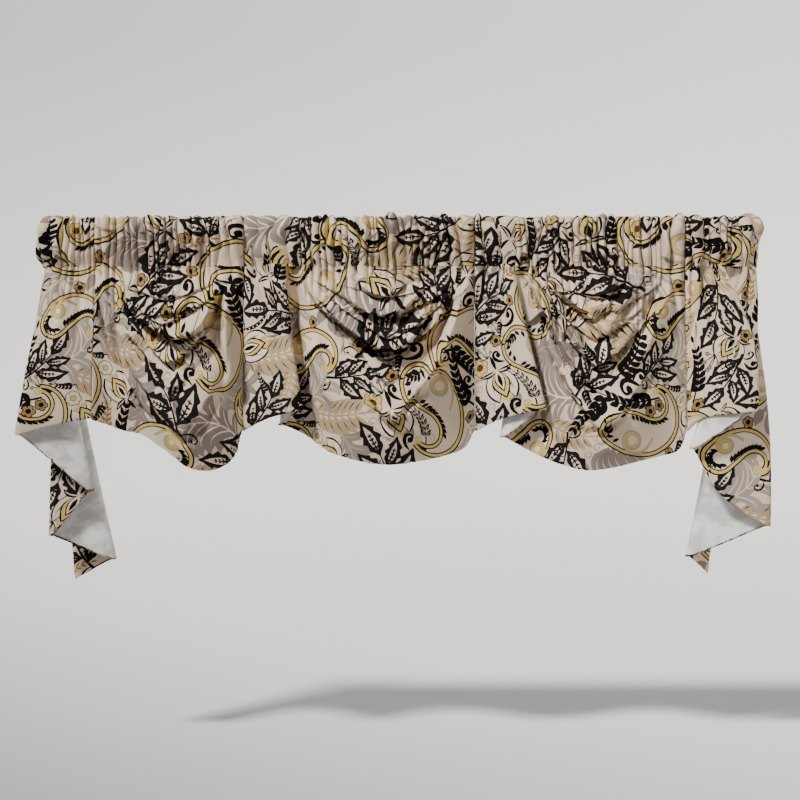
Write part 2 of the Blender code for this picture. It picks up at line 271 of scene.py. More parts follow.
def plume(length, turn, pairs, ink="tan", rib="black", wide=0.42):
    """A soft plume of curling leaflets with a thin dark rib in each."""
    path = trail(length, turn)
    shapes = [(ink, ribbon(path, (1.8, 1.4, 0.8)))]
    for k in range(pairs):
        share = 0.08 + 0.84 * k / pairs
        (x, y), angle = heading(path, share)
        long = length * wide * (0.75 + 0.5 * math.sin(math.pi * share)) * (1 - 0.35 * share)
        for side in (-1, 1):
            one = leaf(long, long * 0.34, -42 * side, ink)
            line = trail(long * 0.55, -20 * side, start=(long * 0.2, 0))
            one.append((rib, ribbon(line, (0.0, 0.75, 0.5, 0.0))))
            shapes += put(one, x, y, angle + side * 62)
    (x, y), angle = heading(path, 0.98)
    return shapes + put(leaf(length * wide * 0.6, length * wide * 0.2, 0, ink), x, y, angle)


def frond(length, width, turn, ink="grey", vein="cream", lobes=6):
    """A broad curling leaf, cut into lobes that hook back, with a pale vein in each."""
    path = trail(length, turn, hook=0.2)
    shapes = [(ink, ribbon(path, [w * width * 0.15 for w in (0.5, 1.0, 1.2, 1.1, 0.8, 0.3)]))]
    veins = []
    for k in range(lobes):
        share = 0.04 + 0.88 * k / lobes
        (x, y), angle = heading(path, share)
        long = width * (0.58 + 0.34 * math.sin(math.pi * (share + 0.12)))
        for side in (-1, 1):
            far = long * (1.0 if side > 0 else 0.78)
            blade = [w * far * 0.13 for w in (0.7, 0.9, 1.1, 1.25, 1.2, 0.9, 0.0)]
            lobe = trail(far * 1.12, 120 * side, hook=0.7)
            shapes += put([(ink, ribbon(lobe, blade))], x, y, angle + side * 34)
            line = ribbon(trail(far * 0.85, 84 * side, hook=0.7), (0.8, 1.0, 0.7, 0.0))
            veins += put([(vein, line)], x, y, angle + side * 34)
    (x, y), angle = heading(path, 0.99)
    shapes += put(leaf(width * 0.45, width * 0.26, turn * 0.6, ink), x, y, angle)
    return shapes + veins + [(vein, ribbon(path, (1.3, 1.3, 1.0, 0.7, 0.0)))]


def bloom(radius, petals=6, ink="gold", heart="brown"):
    """A small round flower: petals round a dark heart."""
    shapes = []
    for tint, grow in (("black", 0.9), (ink, 0.0)):
        for k in range(petals):
            angle = 2 * math.pi * k / petals
            x, y = (radius * 0.62 * f(angle) for f in (math.cos, math.sin))
            shapes.append((tint, disc(x, y, radius * 0.40 + grow, 12)))
    shapes.append(("black", disc(0, 0, radius * 0.42, 12)))
    shapes.append((heart, disc(0, 0, radius * 0.34, 12)))
    for k in range(5):
        angle = 2 * math.pi * k / 5
        x, y = (radius * 0.6 * f(angle) for f in (math.cos, math.sin))
        shapes.append(("black", disc(x, y, radius * 0.07, 6)))
    return shapes


def tulip(size, band="gold", flesh="cream"):
    """A cup-shaped flower, open at the top: outlined petals round a banded heart, above two sepals."""
    shapes = []
    for side in (-1, 1):
        one = leaf(size * 0.95, size * 0.42, -55 * side, flesh, edge="black")
        line = trail(size * 0.7, -42 * side, start=(size * 0.06, 0))
        one.append(("grey", ribbon(line, (0.0, 1.6, 1.9, 1.0, 0.0))))
        shapes += put(one, 0, 0, 90 + 42 * side)
    heart = (("black", 0.86, 0.54), (band, 0.80, 0.46), ("black", 0.66, 0.32), (flesh, 0.6, 0.26))
    for ink, long, wide in heart:
        shapes += put(leaf(size * long, size * wide, 0, ink), 0, 0, 90)
    shapes += put(leaf(size * 0.42, size * 0.13, 0, "black"), 0, size * 0.1, 90)
    for k in (-1, 0, 1):
        shapes.append((band, disc(k * size * 0.1, size * (0.9 - 0.06 * abs(k)), size * 0.06, 8)))
    for side in (-1, 1):
        shapes += put(leaf(size * 0.55, size * 0.16, 60 * side, "coal", "ivory"), 0, 0, 90 + 62 * side)
    shapes += put(leaf(size * 0.5, size * 0.12, 12, "black"), 0, 0, -90)
    return shapes


def berries(size, ink, stem):
    """A forked stalk with berries, edged dark."""
    shapes = []
    forks = ((0, 1.0, 20), (28, 0.82, -30), (-30, 0.78, 26), (52, 0.5, 10), (-55, 0.46, -12))
    for angle, long, turn in forks:
        path = trail(size * long, turn)
        shapes += put([(stem, ribbon(path, (0.7, 0.55, 0.45)))], 0, 0, angle)
        x, y = put([("", path[-1:])], 0, 0, angle)[0][1][0]
        shapes += [(stem, disc(x, y, size * 0.095 + 0.7, 10)), (ink, disc(x, y, size * 0.095, 10))]
    return shapes


def spray(size, flesh="ivory"):
    """A bunch of five feathered leaves on one stalk, with a tendril on either side."""
    stalk = trail(64 * size, 24, -8)
    shapes = [("black", ribbon(stalk, (1.6, 1.2, 0.8)))]
    beside = ((0.22, 1, 52, 21), (0.38, -1, 56, 23), (0.62, 1, 46, 20), (0.75, -1, 42, 18))
    for share, side, length, width in beside:
        (x, y), angle = heading(stalk, share)
        one = feather(length * size, width * size, -30 * side, flesh)
        shapes += put(one, x, y, angle + 54 * side)
    (x, y), angle = heading(stalk, 0.98)
    shapes += put(feather(50 * size, 22 * size, 14, flesh), x, y, angle)
    for share, side in ((0.1, -1), (0.5, 1)):
        (x, y), angle = heading(stalk, share)
        shapes += put(scroll(34 * size, 300 * side, 2.6, "black"), x, y, angle + 70 * side)
    return shapes


def pearls(length, turn, ink, bead, width):
    """A band with a row of pale beads."""
    path = trail(length, turn)
    shapes = [(ink, ribbon(path, (0.5 * width, width, width, 0.4 * width)))]
    for k in range(int(length / 6)):
        (x, y), _ = heading(path, (k + 0.5) * 6 / length)
        shapes.append((bead, disc(x, y, width * 0.42, 8)))
    return shapes


MOTIFS = {
    "acanthus": frond(104, 58, 85),
    "fan": frond(80, 50, 120, "smoke", "ivory", 5),
    "mist": frond(84, 44, -90, "grey", "smoke", 5),
    "plume": plume(88, 34, 7),
    "fern": plume(64, -40, 6, "tan", "brown", 0.38),
    "great": comma(148, 215, 29),
    "small": comma(104, 225, 20, "gold", "cream", "tan"),
    "spray": spray(1.0),
    "bunch": spray(0.78, "cream"),
    "vine": sprig(84, 44, 7, 19.0, slim=0.47, stem=1.3),
    "twig": sprig(46, -36, 5, 14.0, slim=0.50, stem=1.2),
    "brush": sprig(38, 22, 7, 7.5, slim=0.26),
    "olive": sprig(58, 60, 6, 13.5, "coal", 0.44, 1.0, "smoke"),
    "rust": sprig(36, -30, 4, 11.0, "ochre", 0.42),
    "tulip": tulip(42),
    "cup": tulip(30, "ochre", "ivory"),
    "bloom": bloom(11),
    "button": bloom(7, 5, "ochre", "black"),
    "star": bloom(9, 7, "cream", "gold"),
    "seeds": berries(22, "grey", "coal"),
    "crook": scroll(52, 330, 5.6),
    "hook": scroll(34, -320, 4.4),
    "coil": scroll(62, 420, 5.0, "grey", 1.8, 0.5),
    "curl": scroll(26, 400, 1.5, "smoke", 1.6, 0.3),
    "chain": pearls(44, -70, "coal", "ivory", 2.6),
}


def thin_out(outline, slack=0.38):
    """Drops the corners of a closed outline that lie within slack of the line past them."""
    for turn in range(4):
        if len(outline) < 6:
            break
        before, after = np.roll(outline, 1, axis=0), np.roll(outline, -1, axis=0)
        line = after - before
        off = np.abs(line[:, 0] * (outline - before)[:, 1] - line[:, 1] * (outline - before)[:, 0])
        off /= np.linalg.norm(line, axis=1) + 1e-6
        keep = (off > slack) | (np.arange(len(outline)) % 2 == turn % 2)
        outline = outline[keep]
    return outline


for name, shapes in MOTIFS.items():
    MOTIFS[name] = [(ink, thin_out(outline)) for ink, outline in shapes]

# One repeat of the print, in painting order: each motif, and where its root lies, its turn, its
# size and whether it is mirrored, once for each of its places. The places were set out by hand,
# then moved apart and filled in by a separate program.
LAYOUT_SCALE = 1.05
MOTIF_SCALE = 1.30
LAYOUT = (
    ("coil", (8, 150, -60, 1, 0), (372, 138, 200, 0.9, 1), (462, 398, 20, 1, 0),
     (196, 232, 100, 0.95, 1)),
    ("acanthus", (-16, 309, 142, 1, 0), (144, -41, 8, 0.95, 1), (267, 320, 50, 1, 1),
     (463, 114, 122, 1.05, 0)),
    ("plume", (124, 85, 346, 1, 0), (417, 200, 218, 1.05, 1), (309, 460, 337, 0.9, 0)),
    ("fan", (574, 434, 115, 1.05, 1), (285, 170, 80, 1, 1), (266, 476, 350, 1.1, 0)),
    ("fern", (589, 237, 93, 1.05, 0), (83, 384, 140, 1.05, 1), (208, 61, 264, 0.9, 0)),
    ("mist", (51, 26, 40, 1, 0), (362, 418, 310, 1, 0)),
    ("great", (62, 91, 118, 1, 0), (351, 231, 64, 1.02, 1), (200, 368, 330, 0.92, 0),
     (490, 36, 160, 0.94, 1)),
    ("spray", (251, 131, 158, 1.02, 0), (35, 300, 24, 1, 1), (442, 300, 98, 1.05, 0),
     (391, 77, 222, 0.98, 1), (117, 366, 80, 0.95, 1)),
    ("tulip", (117, 95, 280, 1.05, 0), (446, 177, 45, 1, 0), (181, 206, 12, 1.05, 0),
     (11, 210, 301, 1, 0), (351, 371, 36, 1, 0), (443, 2, 198, 1.05, 0), (126, 264, 142, 0.95, 1)),
    ("bunch", (128, 424, 46, 1.05, 0), (535, 151, 296, 1.05, 1), (312, 321, 241, 1, 0),
     (235, 446, 40, 1, 0), (130, 237, 65, 1, 1), (340, 50, 355, 1, 0)),
    ("small", (428, 275, 115, 1.05, 0), (277, 80, 240, 1, 1), (64, 364, 65, 1, 1)),
    ("vine", (270, 420, 20, 1, 1), (53, 166, 65, 0.9, 0), (190, -18, 36, 1, 0),
     (332, 276, 278, 0.98, 1), (27, 461, 319, 1, 1), (525, 101, 160, 1.02, 1),
     (194, 418, 198, 0.95, 0)),
    ("cup", (91, 145, 230, 1, 0)),
    ("olive", (402, 213, 84, 1, 0), (496, 402, 85, 0.95, 0)),
    ("twig", (206, 195, 240, 1, 1)),
    ("crook", (40, 166, 121, 1.05, 0), (311, 329, 67, 1, 1), (457, 74, 350, 1.05, 0),
     (238, 438, 140, 1, 0)),
    ("rust", (316, 319, 100, 1.05, 0), (488, 151, 31, 1, 0)),
    ("bloom", (416, 10, 270, 1, 0), (261, 226, 120, 0.95, 0)),
    ("chain", (166, 150, 240, 1, 0)),
    ("hook", (20, 38, 346, 1, 0), (459, 476, 190, 1, 0), (130, 223, 107, 1, 1)),
    ("star", (315, -40, 0, 1, 0)),
    ("button", (397, 100, 0, 1, 0), (483, 165, 80, 1.05, 0), (43, 181, 35, 1, 0),
     (269, 408, 0, 1.05, 0), (16, -11, 35, 1, 0)),
    ("curl", (171, 336, 80, 1.1, 0), (239, 89, 120, 1.15, 1), (-2, 180, 175, 1.1, 0),
     (406, 210, 120, 1.15, 0), (412, 429, 325, 1.1, 1), (146, 335, 220, 1.1, 0),
     (441, 37, 70, 1.15, 0), (236, 174, 250, 1.15, 0)),
    ("twig", (549, 192, 250, 0.6, 1)), ("button", (487, 112, 326, 1.1, 0)),
    ("curl", (159, 186, 154, 1.1, 0)), ("seeds", (91, 235, 229, 1, 0)),
    ("hook", (470, 389, 137, 1.1, 0)), ("twig", (318, 442, 200, 0.6, 0)),
    ("brush", (63, 290, 98, 0.6, 1)), ("button", (290, 337, 294, 1.1, 0)),
    ("curl", (27, 10, 230, 1.1, 1)), ("seeds", (430, 22, 127, 0.85, 0)),
    ("hook", (26, 34, 183, 1.1, 0)), ("twig", (459, 84, 63, 0.6, 1)),
    ("brush", (14, 194, 42, 0.6, 1)), ("button", (142, 264, 298, 1.1, 1)),
    ("curl", (434, 398, 16, 1.1, 0)), ("seeds", (265, 436, 132, 0.85, 0)),
    ("hook", (221, 447, 82, 1.1, 0)), ("twig", (171, 25, 145, 0.6, 0)),
    ("brush", (368, 83, 67, 0.6, 0)), ("button", (315, 137, 30, 1.1, 0)),
    ("curl", (463, 180, 301, 1.1, 1)), ("seeds", (419, 250, 253, 0.77, 0)),
    ("hook", (311, 270, 134, 1.1, 1)), ("twig", (148, 438, 91, 0.6, 1)),
    ("brush", (216, 422, 25, 0.6, 0)), ("button", (445, 49, 1, 1.1, 1)),
    ("curl", (256, 57, 150, 1.1, 1)), ("seeds", (438, 79, 294, 0.69, 0)),
    ("hook", (521, 99, 340, 1.04, 0)), ("twig", (112, 85, 126, 0.6, 0)),
    ("brush", (190, 113, 172, 0.6, 0)), ("button", (61, 160, 155, 1.1, 1)),
    ("curl", (144, 188, 330, 1.1, 0)), ("seeds", (216, 197, 146, 0.69, 1)),
    ("hook", (291, 227, 201, 1.04, 1)), ("twig", (310, 366, 264, 0.6, 0)),
    ("brush", (317, 357, 98, 0.6, 0)), ("button", (252, 397, 320, 1.1, 1)),
    ("curl", (499, 408, 313, 1.1, 0)),
)


# The cloths' finishes: matt printed cotton duck, whose colours come from the mesh, and white
# cotton lining. Both read the piece's flat pattern, so that weave and slubs follow the cloth.


class Maths:
    """A shader value that adds, subtracts, multiplies and divides by making Math nodes."""

    def __init__(self, shader, socket):
        self.shader, self.socket = shader, socket

    def _two(self, kind, left, right):
        return self.shader.node("Math", {0: left, 1: right}, operation=kind)["Value"]

    def __add__(self, other):
        return self._two("ADD", self, other)

    def __sub__(self, other):
        return self._two("SUBTRACT", self, other)

    def __mul__(self, other):
        return self._two("MULTIPLY", self, other)

    def __truediv__(self, other):
        return self._two("DIVIDE", self, other)

    def __rsub__(self, other):
        return self._two("SUBTRACT", other, self)

    def __rtruediv__(self, other):
        return self._two("DIVIDE", other, self)

    __radd__, __rmul__ = __add__, __mul__


class Outputs:
    """A new node's outputs, by name, as values for shader maths."""

    def __init__(self, shader, made):
        self.shader, self.made = shader, made

    def __getitem__(self, name):
        return Maths(self.shader, self.made.outputs[name])


class Shader:
    """One node material, and the method that adds a node to it."""

    def __init__(self, name):
        self.material = bpy.data.materials.new(name)
        self.material.use_nodes = True
        self.tree = self.material.node_tree
        self.surface = self.tree.nodes["Principled BSDF"]

    def node(self, kind, inputs=(), **settings):
        """Adds a node, sets its options, and links or fills its inputs."""
        made = self.tree.nodes.new("ShaderNode" + kind)
        for key, value in settings.items():
            setattr(made, key, value)
        for key, value in dict(inputs).items():
            self.feed(made.inputs[key], value)
        return Outputs(self, made)

    def feed(self, socket, value):
        """Links a shader value to a socket, or sets the socket to a number or colour."""
        if isinstance(value, Maths):
            self.tree.links.new(value.socket, socket)
        else:
            socket.default_value = value


SHEET_SPAN = 0.8  # metres of flat cloth across the unit square of the OFBake map
SLUB_LONG, SLUB_FINE = 150.0, 1900.0  # noise cells in a metre, along a thread and across it


def cloth_finish(name, printed):
    """Cotton cloth: a fine plain weave, slubs along both threads, and faint uneven colour."""
    shader = Shader(name)
    flat = shader.node("UVMap", uv_map="OFBake")["UV"]
    metres = shader.node("Mapping", {"Vector": flat, "Scale": (SHEET_SPAN,) * 3})["Vector"]
    across = shader.node("Mapping", {"Vector": metres, "Scale": (SLUB_LONG, SLUB_FINE, 1.0)})["Vector"]
    down = shader.node("Mapping", {"Vector": metres, "Scale": (SLUB_FINE, SLUB_LONG, 1.0)})["Vector"]
    weft = shader.node("TexNoise", {"Vector": across, "Scale": 1.0, "Detail": 2.0})["Fac"]
    warp = shader.node("TexNoise", {"Vector": down, "Scale": 1.0, "Detail": 2.0})["Fac"]
    threads = (weft + warp) * 0.5
    cloud = shader.node("TexNoise", {"Vector": metres, "Scale": 38.0, "Detail": 3.0})["Fac"]
    grain = shader.node("TexNoise", {"Vector": metres, "Scale": 420.0, "Detail": 3.0})["Fac"]
    level = 0.80 + threads * 0.22 + (cloud - 0.5) * 0.10 + (grain - 0.5) * 0.16
    if printed:
        ink = shader.node("Attribute", attribute_name="Print")["Color"]
    else:
        blurs = {"Vector": metres, "Scale": 26.0, "Detail": 4.0, "Roughness": 0.62}
        shade = shader.node("ValToRGB", {"Fac": shader.node("TexNoise", blurs)["Fac"]})
        stops = shade.made.color_ramp.elements
        stops[0].position, stops[0].color = 0.42, (0.58, 0.56, 0.54, 1.0)
        stops[1].position, stops[1].color = 0.57, (0.86, 0.84, 0.81, 1.0)
        ink = shade["Color"]
    tone = shader.node("CombineColor", {"Red": level, "Green": level, "Blue": level})["Color"]
    both = {"Fac": 1.0, "Color1": ink, "Color2": tone}
    mixed = shader.node("MixRGB", both, blend_type="MULTIPLY")["Color"]
    bump = shader.node("Bump", {"Strength": 0.35, "Distance": 0.0004, "Height": threads + grain * 0.4})
    shader.feed(shader.surface.inputs["Base Color"], mixed)
    shader.feed(shader.surface.inputs["Roughness"], 0.78 + (grain - 0.5) * 0.2)
    shader.feed(shader.surface.inputs["Normal"], bump["Normal"])
    shader.surface.inputs["Specular IOR Level"].default_value = 0.03
    return shader.material


print_finish = cloth_finish("PrintedCotton", True)
lining_finish = cloth_finish("CottonLining", False)


# How a sheet of this cloth is gathered along the rod, and how the print is laid on it. Each piece
# is worked out as a fine grid of places: rows down the cloth, columns across it. The rod line and
# its seams are the CAD model's.

MM = 0.001
HALF_FRONT, CORNER, RETURN_END = 568.0, 22.0, 78.0
STRAIGHT = HALF_FRONT - CORNER
CORNER_ARC = CORNER * math.pi / 2
RUN_END = STRAIGHT + CORNER_ARC + RETURN_END - CORNER
SEAMS = (-487.0, -247.0, 125.0, 464.0)
POCKET_HEIGHT = 83.0


def smooth(value):
    """Eases from 0 to 1 as the value goes from 0 to 1, and holds outside: 3t^2 - 2t^3."""
    t = np.clip(value, 0.0, 1.0)
    return t * t * (3 - 2 * t)


def bell(value):
    """exp(-value^2)."""
    return np.exp(-(value**2))


def rod_line(run):
    """Places on the rod line at distances from its middle, and the level directions out from it:
    straight in front, a quarter circle at each corner, then straight back."""
    side = np.sign(run)
    beyond = np.abs(run) - STRAIGHT
    angle = np.clip(beyond, 0, CORNER_ARC) / CORNER
    x = side * (np.minimum(np.abs(run), STRAIGHT) + CORNER * np.sin(angle))
    y = CORNER * (1 - np.cos(angle)) + np.maximum(beyond - CORNER_ARC, 0)
    return np.stack([x, y], -1), np.stack([side * np.sin(angle), -np.cos(angle)], -1)


def through(values, at, wanted):
    """A smooth curve through the values: Catmull-Rom pieces whose knots are uneven."""
    values = np.concatenate([[2 * values[0] - values[1]], values, [2 * values[-1] - values[-2]]])
    knots = np.concatenate([[2 * at[0] - at[1]], at, [2 * at[-1] - at[-2]]])
    piece = np.clip(np.searchsorted(at, wanted, side="right") - 1, 0, len(at) - 2)
    t0, t1, t2, t3 = (knots[piece + k] for k in range(4))
    p0, p1, p2, p3 = (values[piece + k] for k in range(4))
    first = (t1 - wanted) / (t1 - t0) * p0 + (wanted - t0) / (t1 - t0) * p1
    second = (t2 - wanted) / (t2 - t1) * p1 + (wanted - t1) / (t2 - t1) * p2
    third = (t3 - wanted) / (t3 - t2) * p2 + (wanted - t2) / (t3 - t2) * p3
    left = (t2 - wanted) / (t2 - t0) * first + (wanted - t0) / (t2 - t0) * second
    right = (t3 - wanted) / (t3 - t1) * second + (wanted - t1) / (t3 - t1) * third
    return (t2 - wanted) / (t2 - t1) * left + (wanted - t1) / (t2 - t1) * right


# Gathers along the rod line, drawn up on the rod as round tubes between sharp creases:
#   run: where; wide: how wide the tubes are there; deep: how far they stand out, as a share
# Each tube and each crease then gets a chance share of that
GATHERING = (
    (-637, 13.0, 0.9), (-560, 12.0, 1.0), (-520, 11.0, 1.1), (-470, 12.0, 1.1), (-400, 11.5, 1.2),
    (-320, 13.0, 1.1), (-268, 17.0, 0.9), (-235, 27.0, 0.4), (-196, 20.0, 0.5), (-165, 11.5, 1.1),
    (-90, 13.5, 1.1), (-20, 11.5, 1.2), (60, 12.5, 1.1), (112, 14.0, 1.0), (150, 21.0, 0.5),
    (186, 19.0, 0.6), (215, 12.0, 1.1), (300, 11.5, 1.2), (400, 12.5, 1.1), (450, 13.0, 1.0),
    (490, 16.0, 0.7), (530, 11.5, 1.0), (637, 13.0, 0.9),
)
dice = np.random.RandomState(41)
where, wide, deep = np.array(GATHERING).T
edges = [-RUN_END]
while edges[-1] < RUN_END - 5:
    edges.append(edges[-1] + np.interp(edges[-1], where, wide) * (0.48 + dice.rand()))
edges = np.array(edges)
for seam in SEAMS:
    edges[np.abs(edges - seam).argmin()] = seam
edges[-1] = RUN_END
widths = np.diff(edges)
TUBE_STAND = 0.74  # how far a tube stands out, as a share of its width, before its own chance share
tube_height = widths * TUBE_STAND * np.interp(edges[:-1], where, deep)
tube_height *= 0.55 + 0.75 * dice.rand(len(widths))
crease_depth = np.interp(edges, where, deep) * (0.8 + 4.2 * dice.rand(len(edges)) ** 2)
crease_depth[[np.abs(edges - seam).argmin() for seam in SEAMS]] = 1.0
tube_reach = 0.20 + 0.45 * dice.rand(len(widths)) ** 1.4
sway = dice.rand(len(edges)) * 2 * math.pi
SWALLOW = 0.72  # how much of the cloth crowds into the creases


def gathered(run):
    """The tube each distance along the rod falls in, and how far across it, from 0 to 1. Cloth
    crowds into the creases: t - SWALLOW / 2pi sin(2pi t)."""
    tube = np.clip(np.searchsorted(edges, run, side="right") - 1, 0, len(widths) - 1)
    share = np.clip((run - edges[tube]) / widths[tube], 0, 1)
    return tube, share - SWALLOW * np.sin(2 * math.pi * share) / (2 * math.pi)


def tube_place(tube, share, height):
    """Where a thread runs along the rod at a height: creases sway a little as they go down."""
    lean = 0.24 * np.sin(sway + height * 0.050) + 0.11 * np.sin(2.3 * sway + height * 0.12)
    moved = edges + lean * np.minimum(np.append(widths, widths[-1]), np.insert(widths, 0, widths[0]))
    for seam in SEAMS:
        i = np.abs(edges - seam).argmin()
        moved[i] = edges[i]
    moved[[0, -1]] = edges[[0, -1]]
    return moved[tube] + (moved[tube + 1] - moved[tube]) * share


def tube_push(tube, share, height):
    """How far a thread stands out at a height: a rounded sine^0.7 over a line between two creases'
    depths. Each tube swells and thins a little on its way down."""
    floor = crease_depth[tube] * (1 - share) + crease_depth[tube + 1] * share
    swell = 0.95 + 0.33 * np.sin(3.1 * sway[tube] + height * 0.075)
    return tube_height[tube] * swell * np.sin(math.pi * np.clip(share, 0, 1)) ** 0.7 - floor


def outward(grid):
    """Outward directions on a grid: down the cloth crossed with across it, made unit long."""
    out = np.cross(np.gradient(grid, axis=0), np.gradient(grid, axis=1))
    return out / np.maximum(np.linalg.norm(out, axis=-1), 1e-9)[..., None]


def look_up(table, row, column):
    """Values of a table between its rows and columns, bilinear."""
    i = np.clip(np.floor(row).astype(int), 0, table.shape[0] - 2)
    j = np.clip(np.floor(column).astype(int), 0, table.shape[1] - 2)
    a, b = (row - i)[:, None], (column - j)[:, None]
    top = table[i, j] * (1 - b) + table[i, j + 1] * b
    low = table[i + 1, j] * (1 - b) + table[i + 1, j + 1] * b
    return top * (1 - a) + low * a


def inside(outline, x, y):
    """Which points a closed outline winds round."""
    turns = np.zeros(len(x), int)
    for (ax, ay), (bx, by) in zip(outline, np.roll(outline, -1, axis=0)):
        left = (bx - ax) * (y - ay) - (x - ax) * (by - ay)
        turns += ((ay <= y) & (by > y) & (left > 0)).astype(int)
        turns -= ((ay > y) & (by <= y) & (left < 0)).astype(int)
    return turns != 0


def printed_shapes(x0, x1, y0, y1):
    """The print's shapes that fall in a rectangle of flat cloth, in painting order. Each has its
    ink, a little lighter or darker from motif to motif."""
    found = []
    tints = np.random.RandomState(5)
    for kind, *places in LAYOUT:
        for x, y, turn, size, flip in places:
            shapes = put(MOTIFS[kind], x * LAYOUT_SCALE, y * LAYOUT_SCALE, turn, size * MOTIF_SCALE, flip)
            tint = 0.90 + 0.2 * tints.rand()
            corners = np.concatenate([outline for _, outline in shapes])
            low, high = corners.min(0), corners.max(0)
            first = [math.floor((a - b) / r) for a, b, r in zip((x0, y0), high, REPEAT)]
            last = [math.ceil((a - b) / r) + 1 for a, b, r in zip((x1, y1), low, REPEAT)]
            for i in range(first[0], last[0]):
                for j in range(first[1], last[1]):
                    for ink, outline in shapes:
                        placed = outline + (i * REPEAT[0], j * REPEAT[1])
                        a, b = placed.min(0), placed.max(0)
                        if b[0] > x0 and a[0] < x1 and b[1] > y0 and a[1] < y1:
                            found.append((np.array(INKS[ink]) * tint, placed))
    return found


CELL = 1.9  # the mesh needs no corner of its own in a square of this size that the print has one in
MARGIN = 2.0  # how far outside a sheet shapes are still looked for
LOOSE_MESH = (2.9, 3.1)


def cell_numbers(points):
    """One number for the square of side CELL that each point lies in."""
    return np.floor(points / CELL).astype(int) @ (1, 100000)


def printed_sheet(name, grid, flat_x, flat_y, print_at, even=(1.7, 3.6), tight=0.40):
    """A sheet of printed cloth. grid: its places; flat_x: where each column lies on the flat cloth;
    flat_y: where each row lies on each thread, downwards; print_at: the place in the print of its
    upper left corner. Its own corners are even apart down to the share tight, and LOOSE_MESH below.
    The mesh is a Delaunay triangulation of the flat sheet that keeps the print's outlines as edges,
    and each triangle has one ink."""
    rows, columns = grid.shape[:2]
    reach = flat_y[-1] - flat_y[0]
    span = float(reach.mean())
    first = float(flat_y[0].mean())

    def to_even(x, y):
        """From the flat cloth to the even rectangle: y as a share of its thread, times the mean."""
        column = np.interp(x, flat_x, np.arange(columns))
        length = np.interp(column, np.arange(columns), reach)
        return np.stack([x, -(y - first) / length * span], -1)

    outlines = []
    x0, x1 = flat_x[0], flat_x[-1]
    left, right = print_at[0] + x0 - MARGIN, print_at[0] + x1 + MARGIN
    lower = print_at[1] - float(flat_y.max()) - MARGIN
    upper = print_at[1] - float(flat_y.min()) + MARGIN
    for ink, outline in printed_shapes(left, right, lower, upper):
        placed = to_even(outline[:, 0] - print_at[0], print_at[1] - outline[:, 1])
        low, high = placed.min(0), placed.max(0)
        if high[0] > x0 and low[0] < x1 and high[1] > -span and low[1] < 0:
            outlines.append((ink, placed))
    points, pairs = [], []
    count = 0
    for _, outline in outlines:
        points.append(outline)
        order = np.arange(len(outline)) + count
        pairs.append(np.stack([order, np.roll(order, -1)], -1))
        count += len(outline)
    corners = np.array([(x0, 0), (x1, 0), (x1, -span), (x0, -span)], float)
    points.append(corners)
    pairs.append(np.array([(0, 1), (1, 2), (2, 3), (3, 0)]) + count)
    taken = np.unique(cell_numbers(np.concatenate([outline for _, outline in outlines])))
    for (dx, dy), (a, b) in ((even, (0.0, tight)), (LOOSE_MESH, (tight, 1.0))):
        xs = np.linspace(x0, x1, max(int((x1 - x0) / dx), 2) + 1)
        ys = -np.linspace(a * span, b * span, max(int((b - a) * span / dy), 1) + 1)
        if b < 1.0:
            ys = ys[:-1]
        if b > a:
            plain = np.stack(np.meshgrid(xs, ys), -1).reshape(-1, 2)
            inner = (plain[:, 0] > x0) & (plain[:, 0] < x1) & (plain[:, 1] < 0) & (plain[:, 1] > -span)
            points.append(plain[~(inner & np.isin(cell_numbers(plain), taken))])
    points = [Vector(p) for p in np.concatenate(points).tolist()]
    made = delaunay_2d_cdt(points, np.concatenate(pairs).tolist(), [], 0, 1e-4, False)
    verts = np.array([tuple(v) for v in made[0]])
    faces = np.array(made[2])
    middle = verts[faces].mean(1)
    keep = (middle[:, 0] > x0) & (middle[:, 0] < x1) & (middle[:, 1] < 0) & (middle[:, 1] > -span)
    a, b, c = (verts[faces[:, k]] for k in range(3))
    area = np.abs((b[:, 0] - a[:, 0]) * (c[:, 1] - a[:, 1]) - (b[:, 1] - a[:, 1]) * (c[:, 0] - a[:, 0]))
    keep &= area > 1e-5
    faces, middle = faces[keep], middle[keep]
    order = np.argsort(middle[:, 0])
    faces, middle = faces[order], middle[order]
    colour = np.tile(np.array(INKS["ivory"]), (len(faces), 1))
    for ink, outline in outlines:
        low, high = outline.min(0), outline.max(0)
        i, j = np.searchsorted(middle[:, 0], (low[0], high[0]))
        near = np.flatnonzero((middle[i:j, 1] > low[1]) & (middle[i:j, 1] < high[1])) + i
        near = near[inside(outline, middle[near, 0], middle[near, 1])]
        colour[near] = ink
    used, faces = np.unique(faces, return_inverse=True)
    faces = faces.reshape(-1, 3)
    verts = verts[used]
    column = np.interp(verts[:, 0], flat_x, np.arange(columns))
    share = np.clip(-verts[:, 1] / span, 0, 1)
    row = np.interp(share, ((flat_y - flat_y[0]) / reach).mean(1), np.arange(rows))
    place = look_up(grid, row, column)
    out = look_up(outward(grid), row, column)
    depth = first + share * np.interp(column, np.arange(columns), reach)
    return make_sheet(name, place, out, faces, verts[:, 0], depth, print_finish, colour)


